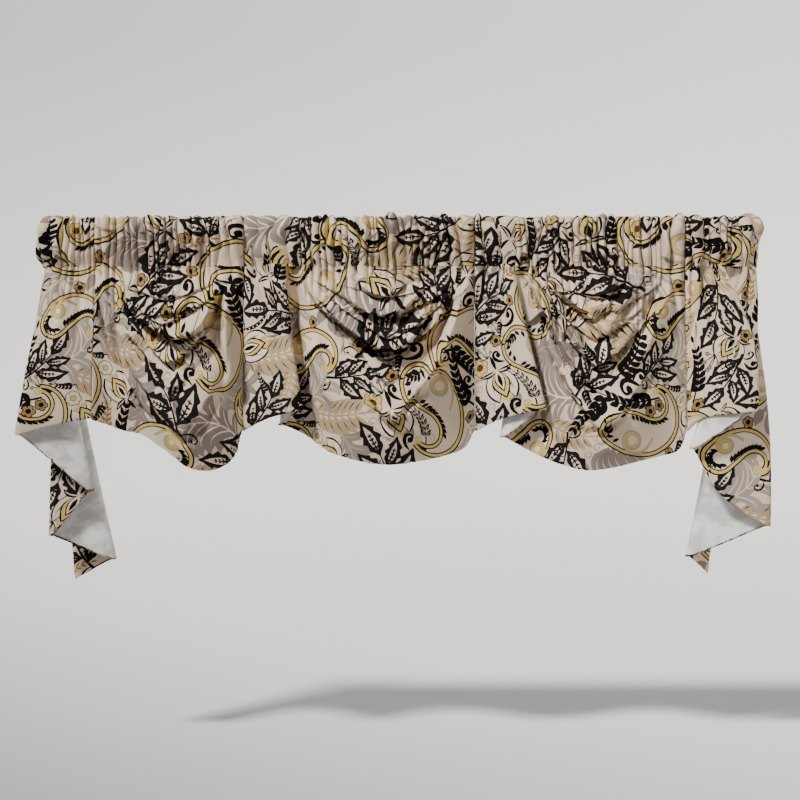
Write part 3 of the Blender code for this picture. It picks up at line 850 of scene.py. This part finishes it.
def make_sheet(name, place, out, faces, flat_x, depth, finish, colour=None):
    """The mesh object: smooth, with the grid's own directions as its normals, its flat layout as the
    map OFBake, and the colour of each face on its corners as the attribute Print."""
    mesh = bpy.data.meshes.new(name)
    mesh.vertices.add(len(place))
    mesh.vertices.foreach_set("co", (place * MM).ravel())
    sides = faces.shape[1]
    mesh.loops.add(faces.size)
    mesh.loops.foreach_set("vertex_index", faces.ravel())
    mesh.polygons.add(len(faces))
    mesh.polygons.foreach_set("loop_start", np.arange(len(faces)) * sides)
    mesh.update(calc_edges=True)
    mesh.shade_smooth()
    if colour is not None:
        corners = np.concatenate([np.repeat(colour, sides, axis=0), np.ones((faces.size, 1))], 1)
        layer = mesh.color_attributes.new("Print", "FLOAT_COLOR", "CORNER")
        layer.data.foreach_set("color", corners.ravel())
    flat = np.stack([flat_x - flat_x.min(), depth.max() - depth], -1) * MM / SHEET_SPAN
    layer = mesh.uv_layers.new(name="OFBake")
    layer.data.foreach_set("uv", flat[faces.ravel()].ravel())
    mesh.normals_split_custom_set_from_vertices(out / np.linalg.norm(out, axis=1)[:, None])
    mesh.materials.append(finish)
    thing = bpy.data.objects.new(name, mesh)
    bpy.context.scene.collection.objects.link(thing)
    return thing


# The hanging cloth below the pocket: printed cotton with a white cotton lining, cut in five units
# and hemmed. Lengthwise threads run from the pocket to the hem. Each is gathered where it leaves
# the pocket, swings forward, and hangs. The tables of the lower edges are the CAD model's.

# A place on a unit's lower edge; run: where its thread leaves the rod line; bow and belly: how far
# the thread bows to the right and forward; turn: -1 or 1 at the tip of a pressed fold that points
# left or right
COLUMNS = ("x", "y", "z", "run", "bow", "belly", "turn")
JABOT_LEFT = (
    (-528, 34, -591, -632, 0, 0, 0),
    (-462, 12, -556, -622, 0, 0, 1),
    (-556, -12, -517, -608, 4, 0, -1),
    (-492, -30, -443, -594, 0, 0, 1),
    (-600, -57, -353, -574, 0, 4, -1),
    (-560, -58, -342, -545, -3, 4, 0),
    (-522, -52, -333, -515, 0, 2, 0),
    (-487, -42, -327, -488, 0, 0, 0),
)
SWAG_LEFT = (
    (-486, -42, -329, -486, 0, 0, 0),
    (-466, -33, -336, -472, 0, 0, 0),
    (-442, -36, -346, -456, 0, 4, 0),
    (-408, -52, -353, -432, 0, 14, 0),
    (-368, -70, -377, -404, 0, 22, 0),
    (-330, -82, -404, -376, 0, 28, 0),
    (-301, -86, -410, -350, 0, 28, 0),
    (-276, -78, -404, -322, 0, 22, 0),
    (-258, -58, -388, -290, 0, 12, 0),
    (-247, -34, -348, -248, 0, 0, 0),
)
SWAG_MIDDLE = (
    (-246, -33, -347, -246, 0, 0, 0),
    (-205, -48, -327, -214, 0, 3, 0),
    (-152, -62, -314, -186, 0, 3, 1),
    (-182, -32, -338, -170, 0, 0, -1),
    (-150, -24, -352, -156, 0, 2, 0),
    (-110, -54, -379, -126, 0, 14, 0),
    (-62, -78, -394, -78, 0, 26, 0),
    (-14, -88, -400, -18, 0, 30, 0),
    (34, -82, -395, 36, 0, 26, 0),
    (76, -66, -386, 78, 0, 16, 0),
    (108, -46, -374, 106, 0, 6, 0),
    (124, -34, -348, 124, 0, 0, 0),
)
SWAG_RIGHT = (
    (126, -33, -347, 126, 0, 0, 0),
    (166, -47, -328, 154, 0, 3, 0),
    (232, -64, -313, 182, 0, 3, 1),
    (172, -33, -357, 200, 0, 0, -1),
    (214, -24, -380, 215, 0, 2, 0),
    (256, -58, -399, 242, 0, 14, 0),
    (300, -84, -409, 282, 0, 28, 0),
    (338, -88, -405, 326, 0, 30, 0),
    (378, -80, -396, 372, 0, 24, 0),
    (418, -62, -387, 414, 0, 12, 0),
    (450, -44, -377, 446, 0, 4, 0),
    (463, -34, -348, 463, 0, 0, 0),
)
JABOT_RIGHT = (
    (465, -33, -347, 465, 0, 0, 0),
    (486, -44, -328, 480, 0, 3, 0),
    (526, -56, -321, 502, 6, 4, 0),
    (566, -63, -316, 522, 20, 4, 1),
    (474, -36, -376, 540, 6, 0, -1),
    (514, -28, -444, 556, 10, 0, 0),
    (556, -20, -478, 570, 14, 0, 0),
    (598, -10, -501, 588, 14, 0, 1),
    (476, 14, -552, 612, 0, 0, -1),
    (510, 34, -581, 632, 0, 0, 0),
)

# The folds that hang across each scoop. For each: the place of its crest down the middle, from the
# pocket (0) to the hem (1); how far it stands out; its half width; and how far its arms reach to
# the left and right, where 1 is the seam
SCOOP_LEFT_FOLDS = (
    (0.15, 11.0, 0.040, -0.80, 0.85),
    (0.26, 13.0, 0.042, -0.55, 0.90),
    (0.35, 12.0, 0.036, -0.90, 0.55),
    (0.45, 22.0, 0.055, -0.98, 0.88),
    (0.59, 14.0, 0.050, -1.00, 0.30),
    (0.80, 14.0, 0.070, -0.95, 0.95),
)
SCOOP_MIDDLE_FOLDS = (
    (0.14, 10.0, 0.038, -0.75, 0.80),
    (0.24, 15.0, 0.042, -1.00, 0.90),
    (0.34, 15.0, 0.040, -0.85, 0.95),
    (0.45, 20.0, 0.050, -1.00, 0.95),
    (0.57, 12.0, 0.046, -0.95, 0.20),
    (0.74, 16.0, 0.065, -0.45, 1.00),
)
SCOOP_RIGHT_FOLDS = (
    (0.13, 10.0, 0.038, -0.75, 0.80),
    (0.23, 13.0, 0.040, -0.95, 0.90),
    (0.34, 14.0, 0.040, -1.00, 0.70),
    (0.46, 22.0, 0.052, -1.00, 0.95),
    (0.60, 14.0, 0.048, -1.00, 0.10),
    (0.77, 17.0, 0.062, -1.00, 0.95),
)
# Shallow wrinkles between the deep folds, in the same columns
SCOOP_WRINKLES = (
    (0.09, 5.0, 0.022, -0.30, 0.75),
    (0.20, 5.0, 0.022, -0.85, 0.30),
    (0.40, 5.0, 0.022, -0.10, 0.95),
    (0.52, 5.0, 0.024, 0.10, 0.90),
    (0.66, 4.5, 0.026, -0.90, 0.05),
    (0.66, 2.5, 0.022, 0.30, 0.95),
    (0.86, 2.5, 0.026, -0.60, 0.35),
)

TOP = -POCKET_HEIGHT - 0.4  # where the cloth leaves the pocket, and how far out
TOP_OUT = 11.3
# How far the stitches under the pocket pull the cloth in, along the rod line
PINCHES = (
    (-637, 6), (-560, 6), (-490, 5), (-450, 2), (-400, 0.5), (-330, 0.5), (-270, 1.5), (-240, 3.5),
    (-190, 3), (-150, 1), (-60, 0), (0, 0.5), (60, 0), (110, 1.5), (140, 3.5), (190, 3), (240, 0.5),
    (300, 0), (380, 0.5), (430, 1), (470, 4), (530, 5), (570, 6), (637, 6),
)
PINCH_AT, PINCH = np.array(PINCHES).T
FOLD_RADIUS = 5.0  # of a pressed fold's tip
FOLD_LAP = 3.8  # how far apart the layers start at the pocket
LAP_FADE = 0.36  # the share of the way down at which the layers have closed up
BULGE, EASE_IN = 1.5, 0.15  # how the cloth swings forward, and where it has eased in
SINK = 0.88  # how far a scoop's cross rows sink at its corners, as a share of the way down
THREADS_APART = 1.6
DOWN_ROWS = 210
RIDGE, VALLEY = 0.8, 0.55  # how far a fold stands out, and its valley goes in, as shares
ABOVE, BELOW = 1.15, 0.50  # a fold's reach above and below its crest, in its half widths
VALLEY_AT, VALLEY_WIDE = 0.95, 0.36  # where its valley lies below the crest, and the valley's width
SAG = 0.75  # how far a fold drops as it stands out
HEM_CURL = 10.0  # how far the hem of a scoop turns back
CREASE_RISE = 1.3  # a crease's height, for the height that its row gives
HEM_ROLL, HEM_STEP, HEM_ROWS = 1.6, 0.8, 8


def turned(rows, behind):
    """The table's rows, with each fold's tip made a half circle of three places. behind is 1 where
    the later rows of the table lie behind the earlier ones, and -1 where they lie in front."""
    found = []
    lap = 2.5 * FOLD_LAP
    for row in rows:
        place = dict(zip(COLUMNS, row), gathered=1.0, lap=0.0)
        if not place["turn"]:
            found.append(place)
            continue
        on_front = abs(place["run"]) < STRAIGHT
        for part in (-1, 0, 1):
            tip = dict(place, y=place["y"] + part * behind * FOLD_RADIUS, gathered=0.0)
            tip["run"] += part * FOLD_RADIUS
            tip["x"] += place["turn"] * FOLD_RADIUS * (1 - abs(part))
            tip["lap"] = lap if on_front else 0.0
            lap -= FOLD_LAP
            found.append(tip)
    return found


def threads(rows, behind=1):
    """A unit's lengthwise threads, left to right and THREADS_APART along the hem: the table's
    columns for each, as arrays, and where each one falls in the gathers."""
    places = turned(rows, behind)
    hem = np.array([[place["x"], place["y"], place["z"]] for place in places], float)
    strides = np.sqrt(np.linalg.norm(np.diff(hem, axis=0), axis=1))
    at = np.concatenate([[0], np.cumsum(strides)])
    trial = np.linspace(0, at[-1], 4000)
    line = np.stack([through(hem[:, i], at, trial) for i in range(3)], -1)
    long = np.concatenate([[0], np.cumsum(np.linalg.norm(np.diff(line, axis=0), axis=1))])
    wanted = np.interp(np.linspace(0, long[-1], int(long[-1] / THREADS_APART)), long, trial)
    found = {key: through(hem[:, i], at, wanted) for i, key in enumerate("xyz")}
    for key in ("run", "bow", "belly", "gathered", "lap"):
        found[key] = np.interp(wanted, at, [place[key] for place in places])
    tube, share = gathered(found["run"])
    found["even"] = found["run"]
    found["run"] = tube_place(tube, share, TOP)
    found["push"] = tube_push(tube, share, TOP) * (0.35 + 0.57 * found["gathered"])
    found["out"] = TOP_OUT - np.interp(found["run"], PINCH_AT, PINCH)
    middles = (edges[:-1] + edges[1:]) / 2
    found["reach"] = np.interp(found["run"], middles, tube_reach)
    return found


def drape(found, down):
    """Places on the threads, for a grid of shares of the way down from the pocket to the hem. x and
    z go evenly from the pocket to the hem; y comes forward as 1 - (1 - down)^BULGE, eased in at the
    pocket, and the belly and the bow add a sine of the way down. Gathers fade out over each tube's
    own reach, and so does the crowding of the threads in them."""
    still = 1 - smooth(down / found["reach"])
    place, out = rod_line(found["even"] + (found["run"] - found["even"]) * still)
    push = (found["out"] + found["lap"]) * (1 - smooth(down / LAP_FADE)) + found["push"] * still
    swing = np.sin(math.pi * down)
    forward = (1 - (1 - down) ** BULGE) * smooth(down / EASE_IN)
    x = place[..., 0] + (found["x"] - place[..., 0]) * down + found["bow"] * swing + out[..., 0] * push
    y = place[..., 1] + (found["y"] - place[..., 1]) * forward - found["belly"] * swing + out[..., 1] * push
    z = TOP + (found["z"] - TOP) * down
    return np.stack([x, y, z], -1)


def scoop(rows, first, middle, folds):
    """A unit that holds a scoop. Its cross rows sink from both top corners to the lowest thread, at
    x = middle, in a V: down = level (1 - (1 - level^6) SINK |across|^1.3), solved for the level at
    even shares of the way down. Each fold is a ridge on such a row, bell-shaped and steep below,
    with a valley under it, and sags as it stands out."""
    found = threads(rows)
    run = found["run"]
    start, end = (dict(zip(COLUMNS, rows[i]))["run"] for i in (first, -1))
    lowest = np.interp(middle, found["x"][run >= start], run[run >= start])
    across = (run - lowest) / np.where(run < lowest, lowest - start, end - lowest)
    beside = across < -1
    down = np.repeat(np.linspace(0, 1, DOWN_ROWS)[:, None], len(run), 1)
    away = np.minimum(np.abs(across), 1) ** 1.3
    trial = np.linspace(0, 1, 1500)
    level = down.copy()
    for j in np.flatnonzero(~beside):
        level[:, j] = np.interp(down[:, j], trial * (1 - (1 - trial**6) * away[j] * SINK), trial)
    plain = drape(found, down)
    grid = plain.copy()
    reach = (1 - away * SINK) ** 0.7 * smooth(down * 9) * smooth((1 - np.abs(across)) * 5)
    stand = np.zeros_like(down)
    for crest, depth, width, left, right in folds + SCOOP_WRINKLES:
        arms = smooth((across - left) / 0.35) * smooth((right - across) / 0.35)
        below = (level - crest) / width
        ridge = bell(below / np.where(below < 0, ABOVE, BELOW))
        stand += depth * arms * (RIDGE * ridge - VALLEY * bell((below - VALLEY_AT) / VALLEY_WIDE))
    stand *= np.where(beside, 0.0, reach)
    curl = HEM_CURL * smooth((level - 0.9) * 10) * smooth((1 - np.abs(across)) * 4)
    grid[:, :, 1] += np.where(beside, 0.0, curl) - stand
    grid[:, :, 2] -= np.maximum(stand, 0) * SAG
    return found, plain, grid


def creased(grid, creases):
    """Adds folds given one by one, as seen from the front: each has a half width, a height towards the
    room (negative: a trough), a lean, and the (x, z) places it runs through. Across it, the cloth
    stands out by CREASE_RISE height exp(-(d/width)^2). A lean makes it steeper on its right as it
    runs, with a narrow crease at the foot there. It eases in and out along its length."""
    push = np.zeros(grid.shape[:2])
    seen = grid[:, :, [0, 2]]
    for width, height, lean, places in creases:
        places = np.array(places, float)
        at = np.concatenate([[0], np.cumsum(np.linalg.norm(np.diff(places, axis=0), axis=1))])
        wanted = np.linspace(0, at[-1], max(int(at[-1] / 6), 6))
        line = np.stack([through(places[:, k], at, wanted) for k in range(2)], -1)
        best = np.full(grid.shape[:2], 1e9)
        side, along = np.zeros_like(best), np.zeros_like(best)
        for a, b, here, there in zip(line, line[1:], wanted, wanted[1:]):
            step = b - a
            share = np.clip(((seen - a) @ step) / (step @ step), 0, 1)
            off = seen - a - share[..., None] * step
            far = np.hypot(off[..., 0], off[..., 1])
            nearer = far < best
            best = np.where(nearer, far, best)
            side = np.where(nearer, step[0] * off[..., 1] - step[1] * off[..., 0], side)
            along = np.where(nearer, here + share * (there - here), along)
        wide = width * np.where(side < 0, 1 - 0.55 * lean, 1 + 0.45 * lean)
        ease = smooth(along / (0.3 * at[-1])) * smooth((at[-1] - along) / (0.3 * at[-1]))
        foot = np.where(side < 0, bell((best - 0.95 * width) / (0.32 * width)), 0.0)
        push += CREASE_RISE * height * (bell(best / wide) - 0.55 * lean * foot) * (0.12 + 0.88 * ease)
    top = smooth((TOP - 4 - grid[:, :, 2]) / 18.0)
    ends = smooth(np.minimum(np.arange(grid.shape[1]), np.arange(grid.shape[1])[::-1]) / 8.0)
    grid[:, :, 1] -= push * top * ends
    grid[:, :, 2] -= np.maximum(push, 0) * 0.25 * top * ends
    return grid


def lay_flat(grid):
    """Where the columns and rows of hung cloth lie on the flat: across, the gaps between threads
    square to them, averaged over the lower half; down, the length along each thread."""
    down = np.gradient(grid, axis=0)
    down /= np.linalg.norm(down, axis=-1)[..., None]
    middle = (down[:, 1:] + down[:, :-1]) / 2
    step = np.diff(grid, axis=1)
    apart = np.linalg.norm(step - (step * middle).sum(-1)[..., None] * middle, axis=-1)
    flat_x = np.concatenate([[0], np.cumsum(evened(apart[len(grid) // 2:].mean(0), 9))])
    long = evened(np.linalg.norm(np.diff(grid, axis=0), axis=-1).sum(0), 41)
    return flat_x, np.linspace(0, 1, len(grid))[:, None] * long


def cut_size(grid):
    """The flat cut that a hung sheet takes, in metres: its width, its longest thread and its area.
    The area is the hung cloth's own, and the width is that over the mean length of its threads."""
    down, across = np.diff(grid, axis=0) * MM, np.diff(grid, axis=1) * MM
    long = np.linalg.norm(down, axis=-1).sum(0)
    area = float(np.linalg.norm(np.cross(down[:, :-1], across[:-1]), axis=-1).sum())
    return area / float(long.mean()), float(long.max()), area


def evened(values, wide):
    """A row of values, each made the mean of those around it, twice over."""
    for _ in range(2):
        sums = np.cumsum(np.pad(values, (wide // 2 + 1, wide // 2), mode="edge"))
        values = (sums[wide:] - sums[:-wide]) / wide
    return values


SIDE_TURN = ((0.7, 1.0), (0.9, 3.2), (-0.2, 7.0))  # the seam allowance: out past the side, and back


def turn_sides(grid):
    """Adds columns at both sides that turn the seam allowance back, so that the units meet, and a
    row that tucks the gathered edge up behind the pocket."""
    before = [grid[:, :1] + (-past, back, 0.0) for past, back in reversed(SIDE_TURN)]
    after = [grid[:, -1:] + (past, back, 0.0) for past, back in SIDE_TURN]
    grid = np.concatenate([*before, grid, *after], axis=1)
    tuck = 2 * grid[:1] - grid[2:3]
    tuck[:, :, 2] += 1.5
    tuck -= outward(grid)[:1] * 1.6
    return np.concatenate([tuck, grid])


def roll_hem(grid, flat_y):
    """Adds rows that roll the lower edge back round a small radius and up behind, as a turned hem."""
    out = outward(grid)[-1]
    down = grid[-1] - grid[-3]
    down /= np.linalg.norm(down, axis=-1)[:, None]
    rows, lengths = [grid], [flat_y]
    for k in range(1, HEM_ROWS + 1):
        long = k * HEM_STEP
        angle = min(long / HEM_ROLL, math.pi)
        up = max(long - HEM_ROLL * math.pi, 0)
        place = grid[-1] + down * (HEM_ROLL * math.sin(angle) - up) - out * HEM_ROLL * (1 - math.cos(angle))
        rows.append(place[None])
        lengths.append(flat_y[-1:] + long)
    return np.concatenate(rows), np.concatenate(lengths)


def furthest_back(depth, high, wide):
    """The largest y within high rows and wide columns of each place, then made smooth: the mean
    over the same window."""
    for pick in (np.max, np.mean):
        for axis, reach in ((0, high), (1, wide)):
            last = depth.shape[axis] - 1
            places = (np.clip(np.arange(last + 1) + k, 0, last) for k in range(-reach, reach + 1))
            depth = pick([np.take(depth, near, axis) for near in places], 0)
    return depth


LINING_GAP = 1.7
LINING_CLEAR, SCOOP_CLEAR = 6.0, 2.0  # how far it keeps behind the gathers, and behind a scoop's folds
LOOK_AROUND = (16, 7)  # the rows and columns either way that a scoop's lining keeps behind
EVEN_OUT = 14  # the rows either way over which its drop is evened out
LINING_SKIP = (5, 4)  # the lining's mesh has one row and one column for so many of the cloth's


def lining_behind(name, grid, loose_at):
    """A lining sheet behind a panel, LINING_GAP off. It comes up to the cloth at its side edges and
    at the pocket, and tucks into the hem. Behind the gathers it hangs clear of them, and from the
    column loose_at on, which is where a scoop starts, clear of the folds too."""
    grid = grid.copy()
    shares = np.linspace(0, 1, len(grid))[:, None]
    clear = LINING_CLEAR * (1 - smooth((shares - 0.12) / 0.45)) * smooth(shares / 0.02)
    if loose_at is not None:
        behind = furthest_back(grid[:, :, 1], *LOOK_AROUND) + SCOOP_CLEAR - grid[:, :, 1]
        around = np.arange(len(grid))[:, None] + np.arange(-EVEN_OUT, EVEN_OUT + 1)
        drop = grid[np.clip(around, 0, len(grid) - 1), :, 2]
        columns = np.arange(grid.shape[1])
        inside_scoop = smooth((columns - loose_at - 4) / 12.0) * smooth((columns[-1] - columns) / 6.0)
        inside_scoop = inside_scoop * smooth((1 - shares) / 0.10) * smooth(shares / 0.04)
        grid[:, :, 1] += behind * inside_scoop
        grid[:, :, 2] += (drop.mean(1) - grid[:, :, 2]) * inside_scoop
    else:
        inside_scoop = 0.0
    grid = grid - outward(grid) * (clear * (1 - 0.6 * inside_scoop))[..., None]
    out = outward(grid)
    rows, columns = grid.shape[:2]
    i = np.unique(np.append(np.arange(1, rows, LINING_SKIP[0]), rows - 1))
    j = np.unique(np.append(np.arange(0, columns, LINING_SKIP[1]), columns - 1))
    edge = np.minimum(j, columns - 1 - j)[None, :] / 3.0
    tuck = smooth((rows - 1 - i) / 3.0)[:, None]
    off = LINING_GAP * (0.5 + 0.5 * smooth(edge)) * (0.9 + 0.1 * tuck)
    place = grid[np.ix_(i, j)] - out[np.ix_(i, j)] * off[..., None]
    flat_x, flat_y = lay_flat(grid)
    index = np.arange(len(i) * len(j)).reshape(len(i), len(j))
    quads = np.stack([index[:-1, :-1], index[:-1, 1:], index[1:, 1:], index[1:, :-1]], -1).reshape(-1, 4)
    across = np.repeat(flat_x[j][None], len(i), 0).ravel()
    depth = flat_y[np.ix_(i, j)].ravel()
    facing = -outward(grid)[np.ix_(i, j)].reshape(-1, 3)
    piece = make_sheet(name, place.reshape(-1, 3), facing, quads, across, depth, lining_finish)
    return piece, cut_size(place)


# Folds listed for each unit: half width, height towards the room, lean, and (x, z) places
CREASES = {
    "Jabot.left": (
        (9, 5, 0.3, ((-530, -95), (-540, -170), (-556, -260))),
        (7, -4, 0.0, ((-508, -90), (-510, -150), (-514, -220))),
    ),
    "Swag.left": (
        (10, 25, 0.8, ((-438, -86), (-419, -152), (-375, -183), (-347, -196), (-319, -186),
                       (-292, -136), (-276, -90))),
        (9, 16, 0.7, ((-477, -114), (-455, -203), (-433, -247), (-400, -299), (-374, -336))),
        (7, -12, 0.0, ((-459, -150), (-440, -222), (-412, -270), (-380, -318))),
        (8, 12, 0.5, ((-433, -81), (-410, -144), (-381, -158), (-347, -152), (-325, -114))),
        (7, -7, 0.0, ((-416, -200), (-375, -247), (-344, -280))),
        (10, 16, 0.4, ((-270, -96), (-272, -150), (-273, -192), (-265, -258), (-282, -292))),
        (6, -8, 0.0, ((-288, -120), (-290, -180), (-300, -230), (-322, -262))),
        (6, 6, 0.5, ((-400, -88), (-390, -120), (-362, -132), (-340, -110))),
        (5, -5, 0.0, ((-356, -210), (-330, -216), (-300, -196))),
        (8, 6, 0.4, ((-380, -250), (-345, -300), (-310, -330), (-280, -322))),
    ),
    "Swag.middle": (
        (6, -12, 0.0, ((-166, -90), (-160, -140), (-164, -175), (-150, -230))),
        (9, 21, 0.8, ((-156, -86), (-122, -144), (-84, -174), (-40, -205), (-20, -216), (10, -208),
                      (40, -170), (66, -120))),
        (8, 16, 0.7, ((-100, -114), (-62, -147), (-25, -161), (-6, -158), (30, -130), (48, -98))),
        (7, 12, 0.6, ((-70, -94), (-50, -118), (-20, -130), (6, -118), (20, -92))),
        (10, 23, 0.5, ((113, -92), (102, -130), (88, -174), (70, -220), (49, -258), (26, -298))),
        (7, -14, 0.0, ((98, -120), (82, -160), (62, -200), (36, -236))),
        (8, 8, 0.4, ((-144, -203), (-125, -258), (-100, -313))),
        (7, -7, 0.0, ((-128, -190), (-106, -244), (-76, -296))),
        (6, -8, 0.0, ((-110, -176), (-60, -212), (-24, -226), (20, -220))),
        (9, 9, 0.4, ((60, -290), (10, -318), (-40, -312))),
        (7, 8, 0.4, ((-210, -92), (-204, -150), (-196, -220))),
    ),
    "Swag.right": (
        (9, 22, 0.7, ((199, -70), (229, -133), (257, -197), (285, -260), (304, -304))),
        (8, 18, 0.7, ((217, -86), (237, -113), (269, -173), (289, -212), (312, -244))),
        (8, 18, 0.7, ((246, -86), (273, -133), (297, -157), (320, -189), (332, -209))),
        (6, -15, 0.0, ((208, -86), (236, -140), (264, -200), (292, -250))),
        (6, -14, 0.0, ((230, -88), (254, -128), (284, -176), (306, -216))),
        (9, 18, 0.6, ((443, -90), (415, -161), (391, -212), (360, -260))),
        (8, 16, 0.6, ((399, -90), (352, -146), (332, -181), (316, -200))),
        (6, -8, 0.0, ((422, -110), (394, -170), (362, -216), (338, -240))),
        (7, 8, 0.5, ((280, -88), (300, -120), (324, -134), (350, -120), (370, -90))),
        (9, 9, 0.4, ((400, -286), (352, -318), (304, -326))),
        (7, 6, 0.4, ((160, -92), (168, -160), (182, -240))),
    ),
    "Jabot.right": (
        (9, 10, 0.5, ((508, -92), (530, -160), (548, -240), (556, -300))),
        (6, -7, 0.0, ((494, -92), (502, -150), (512, -220))),
    ),
}

# Each unit: its name, its node and its lining's, its lower edge, its scoop if it has one (the first
# place of its lower edge, the x of the lowest thread, the folds), and its corner's place in the print
PANELS = (
    ("Jabot.left", "jabot_left", "lining_jabot_left", JABOT_LEFT, None, (525.0, 181.0)),
    ("Swag.left", "swag_left", None, SWAG_LEFT, (0, -335, SCOOP_LEFT_FOLDS), (300.0, 128.0)),
    ("Swag.middle", "swag_middle", "lining_swag_middle", SWAG_MIDDLE,
     (4, -10, SCOOP_MIDDLE_FOLDS), (120.0, 238.0)),
    ("Swag.right", "swag_right", "lining_swag_right", SWAG_RIGHT,
     (4, 322, SCOOP_RIGHT_FOLDS), (420.0, 178.0)),
    ("Jabot.right", "jabot_right", "lining_jabot_right", JABOT_RIGHT, None, (38.0, 400.0)),
)
hung = {}
for name, node, lining_node, rows, scooped, print_at in PANELS:
    if scooped:
        found, plain, grid = scoop(rows, *scooped)
    else:
        found = threads(rows, -1 if rows is JABOT_LEFT else 1)
        plain = drape(found, np.repeat(np.linspace(0, 1, DOWN_ROWS)[:, None], len(found["run"]), 1))
        grid = plain.copy()
    grid = creased(grid, CREASES[name])
    loose_at = None
    if scooped:
        loose_at = np.searchsorted(found["run"], rows[scooped[0]][COLUMNS.index("run")])
    lining, lining_cut = lining_behind(name.replace(".", ".lining."), grid, loose_at)
    grid = turn_sides(grid)
    flat_x, flat_y = lay_flat(turn_sides(plain))
    hung[name] = (found["run"], flat_x[len(SIDE_TURN):-len(SIDE_TURN)])
    hemmed, flat_y = roll_hem(grid, flat_y)
    piece = printed_sheet(name, hemmed, flat_x, flat_y, print_at)
    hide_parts(node)
    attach(piece, "root")
    if lining_node:
        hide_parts(lining_node)
    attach(lining, "root")


# The rod pocket: one tube a unit, gathered on the rod. It is a single sheet that starts at the
# stitches along its lower edge behind, goes up and over the top, and down the front.

POCKET_RING = (  # out from the rod line, height, and the shares of a gather that push out and lift
    (9.0, -82.6, 0.30, 0.0),
    (-4.0, -81.0, 0.0, 0.0),
    (-10.0, -71.0, 0.0, 0.0),
    (-10.0, -40.0, -0.1, 0.0),
    (-8.5, -9.0, -0.45, 0.25),
    (-1.0, -3.0, 0.15, 0.75),
    (8.0, -5.6, 0.75, 0.45),
    (12.5, -14.0, 0.95, 0.1),
    (13.5, -41.0, 1.0, 0.0),
    (12.8, -66.0, 1.0, 0.0),
    (11.8, -78.0, 1.0, 0.0),
    (11.3, -83.4, 1.0, 0.0),
)
RING_ROWS, THREAD_STEP = 90, 0.8  # threads along the tube, and millimetres of rod for each
MATCHED_AT = 0.62  # the share of a unit's width at which the print runs on from pocket to cloth
POCKET_FULLNESS = 1.6  # flat cloth for each millimetre of rod, past the ends of the hanging cloth
pocket_ends = (-RUN_END, *SEAMS, RUN_END)
ring = np.array(POCKET_RING)
ring_at = np.concatenate([[0], np.cumsum(np.linalg.norm(np.diff(ring[:, :2], axis=0), axis=1))])
ring_wanted = np.linspace(0, ring_at[-1], RING_ROWS)
ring_fine = np.stack([through(ring[:, k], ring_at, ring_wanted) for k in range(4)], -1)
over_top = ring_wanted[ring_fine[:, 1].argmax()]
pocket_flat_y = ring_wanted - over_top

for (name, _, _, _, _, print_at), start, end in zip(PANELS, pocket_ends, pocket_ends[1:]):
    side = {"Jabot.left": "left_end", "Jabot.right": "right_end"}.get(name, name[5:])
    base = np.linspace(start + 0.3, end - 0.3, int((end - start) / THREAD_STEP))
    tube, share = gathered(base)
    lift = 0.3 + 0.45 * np.abs(np.sin(5.3 * sway[tube]))
    pinch = np.interp(base, PINCH_AT, PINCH)
    rows = []
    for away, height, pushed, lifted in ring_fine:
        run = tube_place(tube, share, height)
        push = tube_push(tube, share, height)
        place, out = rod_line(run)
        low = smooth((-height - 62) / 20.5) * (away > 0)
        stand = away - pinch * low + pushed * push * (1 - 0.08 * low)
        rows.append(np.column_stack([place + out * stand[:, None], height + lifted * push * lift]))
    grid = np.stack(rows)
    hung_run, hung_flat = hung[name]
    slope = np.clip(np.gradient(hung_flat) / np.maximum(np.gradient(hung_run), 0.05), 1.0, 2.0)
    flat_run = np.concatenate([[0], np.cumsum(np.diff(hung_run) * (slope[1:] + slope[:-1]) / 2)])
    beyond = base - np.clip(base, hung_run[0], hung_run[-1])
    flat_x = np.interp(base, hung_run, flat_run) + beyond * POCKET_FULLNESS
    middle = int(len(hung_run) * MATCHED_AT)
    shift = hung_flat[middle] - np.interp(hung_run[middle], base, flat_x)
    flat_y = np.repeat(pocket_flat_y[:, None], len(base), 1)
    print_top = print_at[1] + float(pocket_flat_y[-1])
    piece = printed_sheet("Pocket." + side, grid, flat_x + shift, flat_y, (print_at[0], print_top),
                          even=(1.6, 4.4), tight=1.0)
    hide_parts("pocket_" + side)
    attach(piece, "root")
